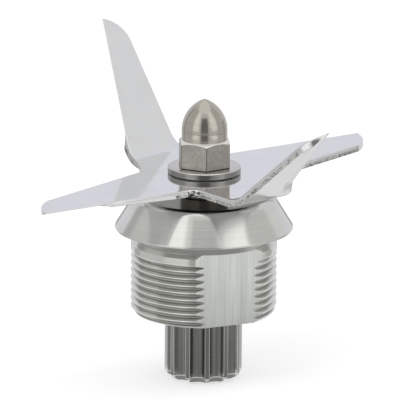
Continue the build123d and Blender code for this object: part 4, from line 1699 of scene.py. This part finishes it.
@dataclass
class DriveSpline:
    """Fluted drive end: a barrel with round flutes and a flared, chamfered free end.

    Attributes:
        chamfer_rows: Rows over the chamfer.
        barrel_rows: Rows up the barrel.
        chamfer_gap: Distance of the barrel's first row from the chamfer.
        edge_gap: Distance of its last row from the top edge.
        FLUTE_MARKS: Angles of the columns from a flute's middle, closer together at its edge.
        TOP_DROP: Rows of the rounded top edge below the top, as shares of its size.
        TOP_SHRINK: How far those rows come in, as shares of its size.
    """

    FLUTE_MARKS: ClassVar[Array] = np.concatenate(
        [np.linspace(0, 9.4, 12), np.linspace(9.8, 12.0, 16), np.linspace(12.6, 14.4, 4)]
    )
    TOP_DROP: ClassVar[Array] = np.array([1.0, 0.4, 0.0])
    TOP_SHRINK: ClassVar[Array] = np.array([0.0, 0.3, 1.0])

    flutes: int = 12
    flute_radius: float = 1.5
    flute_inset: float = 0.2
    land_azimuth: float = -84.0
    chamfer_width: float = 0.9
    chamfer_height: float = 1.4
    neck_radius: float = 5.8
    bore_radius: float = 4.01
    length: float = 13.5
    top_edge: float = 0.12
    edge: float = 0.14
    rim: float = 0.14
    chamfer_rows: int = 12
    barrel_rows: int = 8
    chamfer_gap: float = 0.05
    edge_gap: float = 0.1

    def barrel(self, height: Array, angle: Array, bottom: float, outer: float) -> tuple[Array, Array]:
        """Radius of the fluted barrel, and where it is a land's rounded edge.

        It is the lesser of the lands and the near side of the flute's circle of radius f about a
        centre at c, c cos d - sqrt(f f - (c sin d)^2), where d is the angle from the nearest flute.
        Towards the end chamfer f widens and the lands' radius p narrows. A land ends where
        cos d = (c c + p p - f f) / 2 c p, and x past the start of its rounding of radius e it falls by
        e - sqrt(e e - x x).

        Args:
            height: Heights of the rows, shaped (rows, 1).
            angle: Angles of the columns.
            bottom: Height of the free end.
            outer: Radius of the barrel.

        Returns:
            Radii and the edges' mask, shaped (rows, columns).
        """
        flare = np.clip(1 - (height - bottom) / self.chamfer_height, 0, 1) * self.chamfer_width
        pitch = 2 * np.pi / self.flutes
        off = angle - np.radians(self.land_azimuth) - pitch / 2
        off = (off - pitch * np.round(off / pitch))[None, :]
        centre = outer - self.flute_inset
        circle, land = self.flute_radius + flare, outer - flare
        reach = circle**2 - (centre * np.sin(off)) ** 2
        flute = np.where(reach > 0, centre * np.cos(off) - np.sqrt(np.maximum(reach, 0)), 2 * outer)
        land_end = np.arccos(np.clip((centre**2 + land**2 - circle**2) / (2 * centre * land), -1, 1))
        past = np.clip(self.edge - land * (np.abs(off) - land_end), 0, self.edge)
        rounded = land - (self.edge - np.sqrt(self.edge**2 - past**2))
        return np.minimum(rounded, flute), (past > 0) & (rounded < flute)

    def columns(self) -> Array:
        """Work out the columns, closer together at the edges of the flutes.

        Returns:
            Their angles in radians.
        """
        half_pitch = 180 / self.flutes
        pitch = np.concatenate([-self.FLUTE_MARKS[:0:-1], self.FLUTE_MARKS, [half_pitch]])
        middle = self.land_azimuth + half_pitch
        turns = 360 / self.flutes * np.arange(self.flutes)
        return np.radians(middle + (pitch[None, :] + turns[:, None]).ravel())

    def build(self, groups: SharedGroups) -> bpy.types.Object:
        """Make and dress the spline.

        Args:
            groups: Shared node groups.

        Returns:
            The piece.
        """
        low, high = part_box("drive_spline")
        outer, bottom, neck_top = high.x / MM, low.z / MM, high.z / MM
        outer = round(max(outer, -low.x / MM, high.y / MM, -low.y / MM), 2)
        top = bottom + self.length
        angle = self.columns()
        rim = np.array([bottom, bottom + self.rim])
        chamfer_top, edge_foot = bottom + self.chamfer_height, top - self.top_edge
        chamfer = np.linspace(bottom + 2 * self.rim, chamfer_top - self.rim, self.chamfer_rows)
        chamfer = np.concatenate([rim, chamfer, [chamfer_top]])
        lands = np.linspace(chamfer_top + self.chamfer_gap, edge_foot - self.edge_gap, self.barrel_rows)
        edge = top - self.top_edge * self.TOP_DROP
        heights = np.concatenate([chamfer, lands, edge])[:, None]
        barrel, edges = self.barrel(heights, angle, bottom, outer)
        barrel[-len(edge):] -= self.top_edge * self.TOP_SHRINK[:, None]
        bore, neck = np.full((2, 1, len(angle)), [[[self.bore_radius]], [[self.neck_radius]]])
        radius = np.concatenate([bore, barrel, neck, neck, bore])
        height = np.concatenate([[[bottom]], heights, [[top]], [[neck_top]], [[neck_top]]])
        finish = np.full(radius.shape, DriveFace.FLARE.value)
        sides = slice(1, len(heights))
        deep = barrel < outer - 2 * self.edge
        kinds = np.where(deep & np.roll(deep, -1, axis=1), DriveFace.FLUTE.value, DriveFace.LAND.value)
        # The lands' rounded edges get painted highlight.
        kinds = np.where(edges | np.roll(edges, -1, axis=1), DriveFace.EDGE.value, kinds)
        above = heights - bottom
        # The flared chamfer gets the darker finish: painted shade.
        flared = (above < self.chamfer_height - self.rim - WELD_MM) & (kinds != DriveFace.EDGE.value)
        kinds = np.where(flared, DriveFace.FLARE.value, kinds)
        # A ring at the chamfer's top and the rim at the free end get painted highlight too.
        ring = (above > self.chamfer_height - self.rim - WELD_MM) & (above < self.chamfer_height - WELD_MM)
        kinds = np.where(ring | (above < self.rim - WELD_MM), DriveFace.EDGE.value, kinds)
        finish[sides] = kinds[:-1]
        grid = Patch(around(radius, height, angle), finish, closed_rows=True, closed_columns=True)
        piece = sew("spline_fluted", [grid])
        dress(piece, *(kind.material(groups) for kind in (DRIVE_LAND, DRIVE_FLUTE, DRIVE_EDGE_HIGHLIGHT, DRIVE_FLARE_SHADE)))
        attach(piece, "rotor")
        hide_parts("drive_spline")
        return piece


@dataclass
class InnerWorks:
    """Bearings, seal, spacers, ring, sleeve and shaft: the solids' own shapes with finishes.

    Attributes:
        finishes: Finish of each material slot, and of a solid that has one of its own.
        replaced: Solids that a new piece takes the place of.
    """

    finishes: dict[str, MetalFinish | MouldedFinish] = field(
        default_factory=lambda: {
            "drive_steel": DRIVE_TURNED,
            "bearing_steel": BEARING_GROUND,
            "shield_steel": SHIELD_PLATED,
            "spring_steel": SPRING_DARK,
            "seal_rubber": SEAL_RUBBER,
            "cage_plastic": CAGE_NYLON,
            # The sleeve is darkened: painted shade in the gap under the blade.
            "shaft_sleeve": SLEEVE_SHADE,
        }
    )
    replaced: tuple[str, ...] = ("drive_spline",)

    def build(self, groups: SharedGroups) -> list[str]:
        """Dress every solid that shows as it is.

        Args:
            groups: Shared node groups.

        Returns:
            Names of the solids dressed.
        """
        materials = {name: finish.material(groups) for name, finish in self.finishes.items()}
        dressed = []
        for subpart in frame["record"]["subparts"]:
            node, slot = subpart["node"], subpart["material_slot"]
            if slot in materials and node not in self.replaced:
                dress(frame["nodes"][node], materials.get(node, materials[slot]))
                dressed.append(node)
        return dressed


# Studio


@dataclass(frozen=True)
class Card:
    """Card of the studio that the metal reflects, by the angles at which the object sees it.

    Attributes:
        name: What the card is.
        azimuth: Its middle from the front, to the right.
        half_width: Half of the angle that it takes up sideways.
        bottom: Elevation of its lower edge.
        top: Elevation of its upper edge.
        grey: Its brightness.
        tint: Colour that its grey is multiplied by.
    """

    name: str
    azimuth: float
    half_width: float
    bottom: float
    top: float
    grey: float
    tint: Colour = (1.0, 1.0, 1.0)

    def shade(self) -> tuple[float, float, float, float]:
        """Colour of the card: its grey times its tint, opaque."""
        red, green, blue = self.tint
        return (self.grey * red, self.grey * green, self.grey * blue, 1.0)

    def cover(
        self, tree: Tree, azimuth: bpy.types.NodeSocket, elevation: bpy.types.NodeSocket, edge: float
    ) -> bpy.types.NodeSocket:
        """Work out where the card is: 1 on it, 0 off it, with a fade along its edges.

        Args:
            tree: Helper for the panels' node tree.
            azimuth: Azimuth in degrees.
            elevation: Elevation in degrees.
            edge: Angle over which the edges fade.

        Returns:
            The card's mask.
        """
        aside = tree.math("PINGPONG", tree.math("SUBTRACT", azimuth, self.azimuth), HALF_CIRCLE)
        beside = tree.ramp(aside, self.half_width - edge / 2, self.half_width + edge / 2, 1.0, 0.0)
        middle, half_height = (self.bottom + self.top) / 2, (self.top - self.bottom) / 2
        away = tree.math("ABSOLUTE", tree.math("SUBTRACT", elevation, middle))
        level = tree.ramp(away, half_height - edge / 2, half_height + edge / 2, 1.0, 0.0)
        return tree.math("MULTIPLY", beside, level)


@dataclass(frozen=True)
class Lamp:
    """Soft square lamp aimed at the object, left out of reflections.

    Attributes:
        name: Name of the lamp.
        place: Place in metres.
        side: Side of the lamp in metres.
        power: Power in watts.
    """

    name: str
    place: Triple
    side: float
    power: float

    def add(self) -> None:
        """Put the lamp into the scene."""
        data = bpy.data.lights.new(self.name, "AREA")
        data.size = self.side
        data.energy = self.power
        lamp = bpy.data.objects.new(self.name, data)
        lamp.location = self.place
        lamp.rotation_euler = (-Vector(self.place)).to_track_quat("-Z", "Y").to_euler()
        lamp.visible_glossy = False
        bpy.context.scene.collection.objects.link(lamp)


@dataclass
class Studio:
    """Pale floor, soft light, a ring of reflector panels and the camera.

    Attributes:
        elevation: Camera's angle above the level.
        distance: Camera's distance from the origin.
        pixels_per_mm: Scale of the picture at the origin.
        picture: Side of the square picture in pixels.
        aim_right: How far the camera is moved to its right.
        aim_up: How far the camera is moved up in its picture.
        roll: Turn of the camera about its line of sight.
        sensor: Camera's sensor width.
        clip: Nearest and farthest distance that the camera sees, in metres.
        fill: Strength of the surroundings for light that reaches the object.
        floor_side: Side of the floor in metres.
        floor_grey: Grey of the floor.
        floor_glow: Strength that makes the lit floor read white.
        panel_radius: Radius of the panels' ring in metres.
        panel_foot: Radius of the open spot under the object in metres.
        panel_lift: Height of the panels' foot above the floor in metres.
        panel_climb: Elevation of their top from the ring's middle.
        panel_columns: Columns round the ring.
        flank_rows: Rows up the panels.
        foot_rows: Rows along their level foot.
        tent: Grey of the panels where no card stands.
        card_edge: Angle over which a card's edges fade.
        cards: Cards before the panels, a later one in front of an earlier one.
        lamps: Soft lamps.
    """

    elevation: float = 14.92
    distance: float = 2000.0
    pixels_per_mm: float = 4.87
    picture: int = 400
    aim_right: float = -0.85
    aim_up: float = 5.53
    roll: float = 0.33
    sensor: float = 36.0
    clip: tuple[float, float] = (0.05, 50.0)
    fill: float = 0.6
    floor_side: float = 6.0
    floor_grey: float = 0.62
    floor_glow: float = 0.55
    panel_radius: float = 0.6
    panel_foot: float = 0.0092
    panel_lift: float = 0.0004
    panel_climb: float = 62.0
    panel_columns: int = 180
    flank_rows: int = 16
    foot_rows: int = 8
    tent: float = 0.80
    card_edge: float = 6.0
    cards: tuple[Card, ...] = (
        Card("front_floor", 0, 75, -90, -25, 0.45),
        Card("left_wall", -90, 30, -30, 60, 0.65),
        Card("right_wall", 90, 25, -30, 60, 0.65),
        Card("left_flag", -125, 10, -30, 40, 0.50),
        Card("right_flag", 120, 10, -30, 10, 0.50),
        Card("left_softbox", -45, 15, 0, 60, 1.15),
        Card("right_softbox", 50, 18, 0, 60, 1.15),
        Card("table_front", 0, 22, -28, -6, 0.45),
        Card("camera_gap", 0, 20, -6, 45, 0.22),
        Card("rear_wall", 180, 50, -2, 34, 0.80, (0.98, 0.98, 1.05)),
        Card("rear_gap", 180, 20, -30, -2, 0.35),
    )
    lamps: tuple[Lamp, ...] = (
        Lamp("key_lamp", (-0.5, -0.6, 1.1), 0.9, 5.0),
        Lamp("fill_lamp", (0.8, 0.2, 0.9), 0.8, 2.5),
    )

    def camera(self) -> None:
        """Place the camera at the photographed angle."""
        lean, turn = np.radians(self.elevation), np.radians(self.roll)
        ahead = Vector((0, np.cos(lean), -np.sin(lean)))
        right, up = Vector((1, 0, 0)), Vector((0, np.sin(lean), np.cos(lean)))
        place = (-self.distance * ahead + self.aim_right * right + self.aim_up * up) * MM
        rolled_right = np.cos(turn) * right + np.sin(turn) * up
        rolled_up = -np.sin(turn) * right + np.cos(turn) * up
        data = bpy.data.cameras.new("camera")
        data.sensor_width = self.sensor
        data.lens = self.pixels_per_mm * self.distance / self.picture * self.sensor
        data.clip_start, data.clip_end = self.clip
        seen = bpy.data.objects.new("camera", data)
        axes = Matrix((rolled_right, rolled_up, -ahead)).transposed().to_4x4()
        seen.matrix_world = Matrix.Translation(place) @ axes
        bpy.context.scene.collection.objects.link(seen)
        bpy.context.scene.camera = seen

    def world(self) -> None:
        """White surroundings for the camera and for reflections, a softer fill for the rest."""
        made = bpy.data.worlds.new("studio")
        tree = fresh_tree(made)
        path = tree.add("ShaderNodeLightPath")
        seen = tree.math("MAXIMUM", path.outputs["Is Camera Ray"], path.outputs["Is Glossy Ray"])
        seen = tree.math("MAXIMUM", seen, path.outputs["Is Transmission Ray"])
        strength = tree.ramp(seen, 0.0, 1.0, to_low=self.fill)
        back = tree.add("ShaderNodeBackground", {"Color": WHITE, "Strength": strength})
        tree.add("ShaderNodeOutputWorld", {"Surface": back.outputs[0]})
        bpy.context.scene.world = made

    def floor(self, height: float) -> None:
        """Pale floor that keeps the object's shadow and reads white where it is lit.

        Args:
            height: Height of the floor in metres.
        """
        made = bpy.data.materials.new("pale_floor")
        tree = fresh_tree(made)
        path = tree.add("ShaderNodeLightPath")
        seen = tree.math("MAXIMUM", path.outputs["Is Camera Ray"], path.outputs["Is Glossy Ray"])
        white = tree.math("MULTIPLY", seen, self.floor_glow)
        glow = tree.add("ShaderNodeEmission", {"Color": WHITE, "Strength": white})
        matt = tree.add("ShaderNodeBsdfDiffuse", {"Color": (*[self.floor_grey] * 3, 1.0)})
        both = tree.add("ShaderNodeAddShader", {0: matt.outputs[0], 1: glow.outputs[0]})
        tree.add("ShaderNodeOutputMaterial", {"Surface": both.outputs[0]})
        half = self.floor_side / 2
        mesh = bpy.data.meshes.new("floor")
        corners = [(-half, -half, height), (half, -half, height), (half, half, height), (-half, half, height)]
        mesh.from_pydata(corners, [], [(0, 1, 2, 3)])
        piece = bpy.data.objects.new("floor", mesh)
        piece.data.materials.append(made)
        bpy.context.scene.collection.objects.link(piece)
        piece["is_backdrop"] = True

    def panels(self, height: float) -> None:
        """Ring of reflector panels that only the metal's reflections see.

        It is a bowl: level from the foot to its wall, then a sphere's flank up to the open top. It is
        one grey, with the cards before it.

        Args:
            height: Height of the floor in metres.
        """
        angle = np.linspace(-np.pi, np.pi, self.panel_columns, endpoint=False)
        climb = np.radians(np.linspace(0, self.panel_climb, self.flank_rows))[1:]
        foot = np.geomspace(self.panel_foot, self.panel_radius, self.foot_rows)
        radius = np.concatenate([foot, self.panel_radius * np.cos(climb)])[:, None]
        rise = np.concatenate([np.zeros(self.foot_rows), self.panel_radius * np.sin(climb)])[:, None]
        points = around(radius, height + self.panel_lift + rise, angle) / MM
        ring = sew("panels", [Patch(points, closed_columns=True)])
        ring.data.materials.append(self.panel_material())
        ring.visible_camera = False
        ring.visible_diffuse = False
        ring.visible_shadow = False
        ring.visible_transmission = False
        ring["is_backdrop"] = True

    def panel_material(self) -> bpy.types.Material:
        """Build an emission of one grey with the cards laid over it in order.

        Returns:
            The material.
        """
        made = bpy.data.materials.new("reflector_panels")
        tree = fresh_tree(made)
        place = tree.add("ShaderNodeTexCoord").outputs["Object"]
        axes = tree.add("ShaderNodeSeparateXYZ", {0: place}).outputs
        azimuth = tree.math("DEGREES", tree.math("ARCTAN2", axes[0], tree.math("MULTIPLY", axes[1], -1.0)))
        level = tree.length(axes[0], axes[1])
        elevation = tree.math("DEGREES", tree.math("ARCTAN2", axes[2], level))
        panel = (self.tent, self.tent, self.tent, 1.0)
        for card in self.cards:
            shades = {0: card.cover(tree, azimuth, elevation, self.card_edge), 6: panel, 7: card.shade()}
            panel = tree.add("ShaderNodeMix", shades, data_type="RGBA", label=card.name).outputs[2]
        glow = tree.add("ShaderNodeEmission", {"Color": panel, "Strength": 1.0})
        tree.add("ShaderNodeOutputMaterial", {"Surface": glow.outputs[0]})
        return made

    def build(self) -> None:
        """Set the studio up round the object."""
        bpy.context.scene.view_settings.view_transform = "Standard"
        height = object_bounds()[0].z
        self.camera()
        self.world()
        self.floor(height)
        self.panels(height)
        for lamp in self.lamps:
            lamp.add()


def main() -> None:
    """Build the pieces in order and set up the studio."""
    logging.basicConfig(level=logging.INFO, format="%(name)s: %(message)s")
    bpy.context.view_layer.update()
    groups = SharedGroups()
    for maker in (BearingHousing(), Blade(), BladeWasher(), AcornNut(), DriveSpline()):
        piece = maker.build(groups)
        LOG.info("%s has %d faces", piece.name, len(piece.data.polygons))
    LOG.info("dressed %d solids", len(InnerWorks().build(groups)))
    Studio().build()


if __name__ == "__main__":
    main()
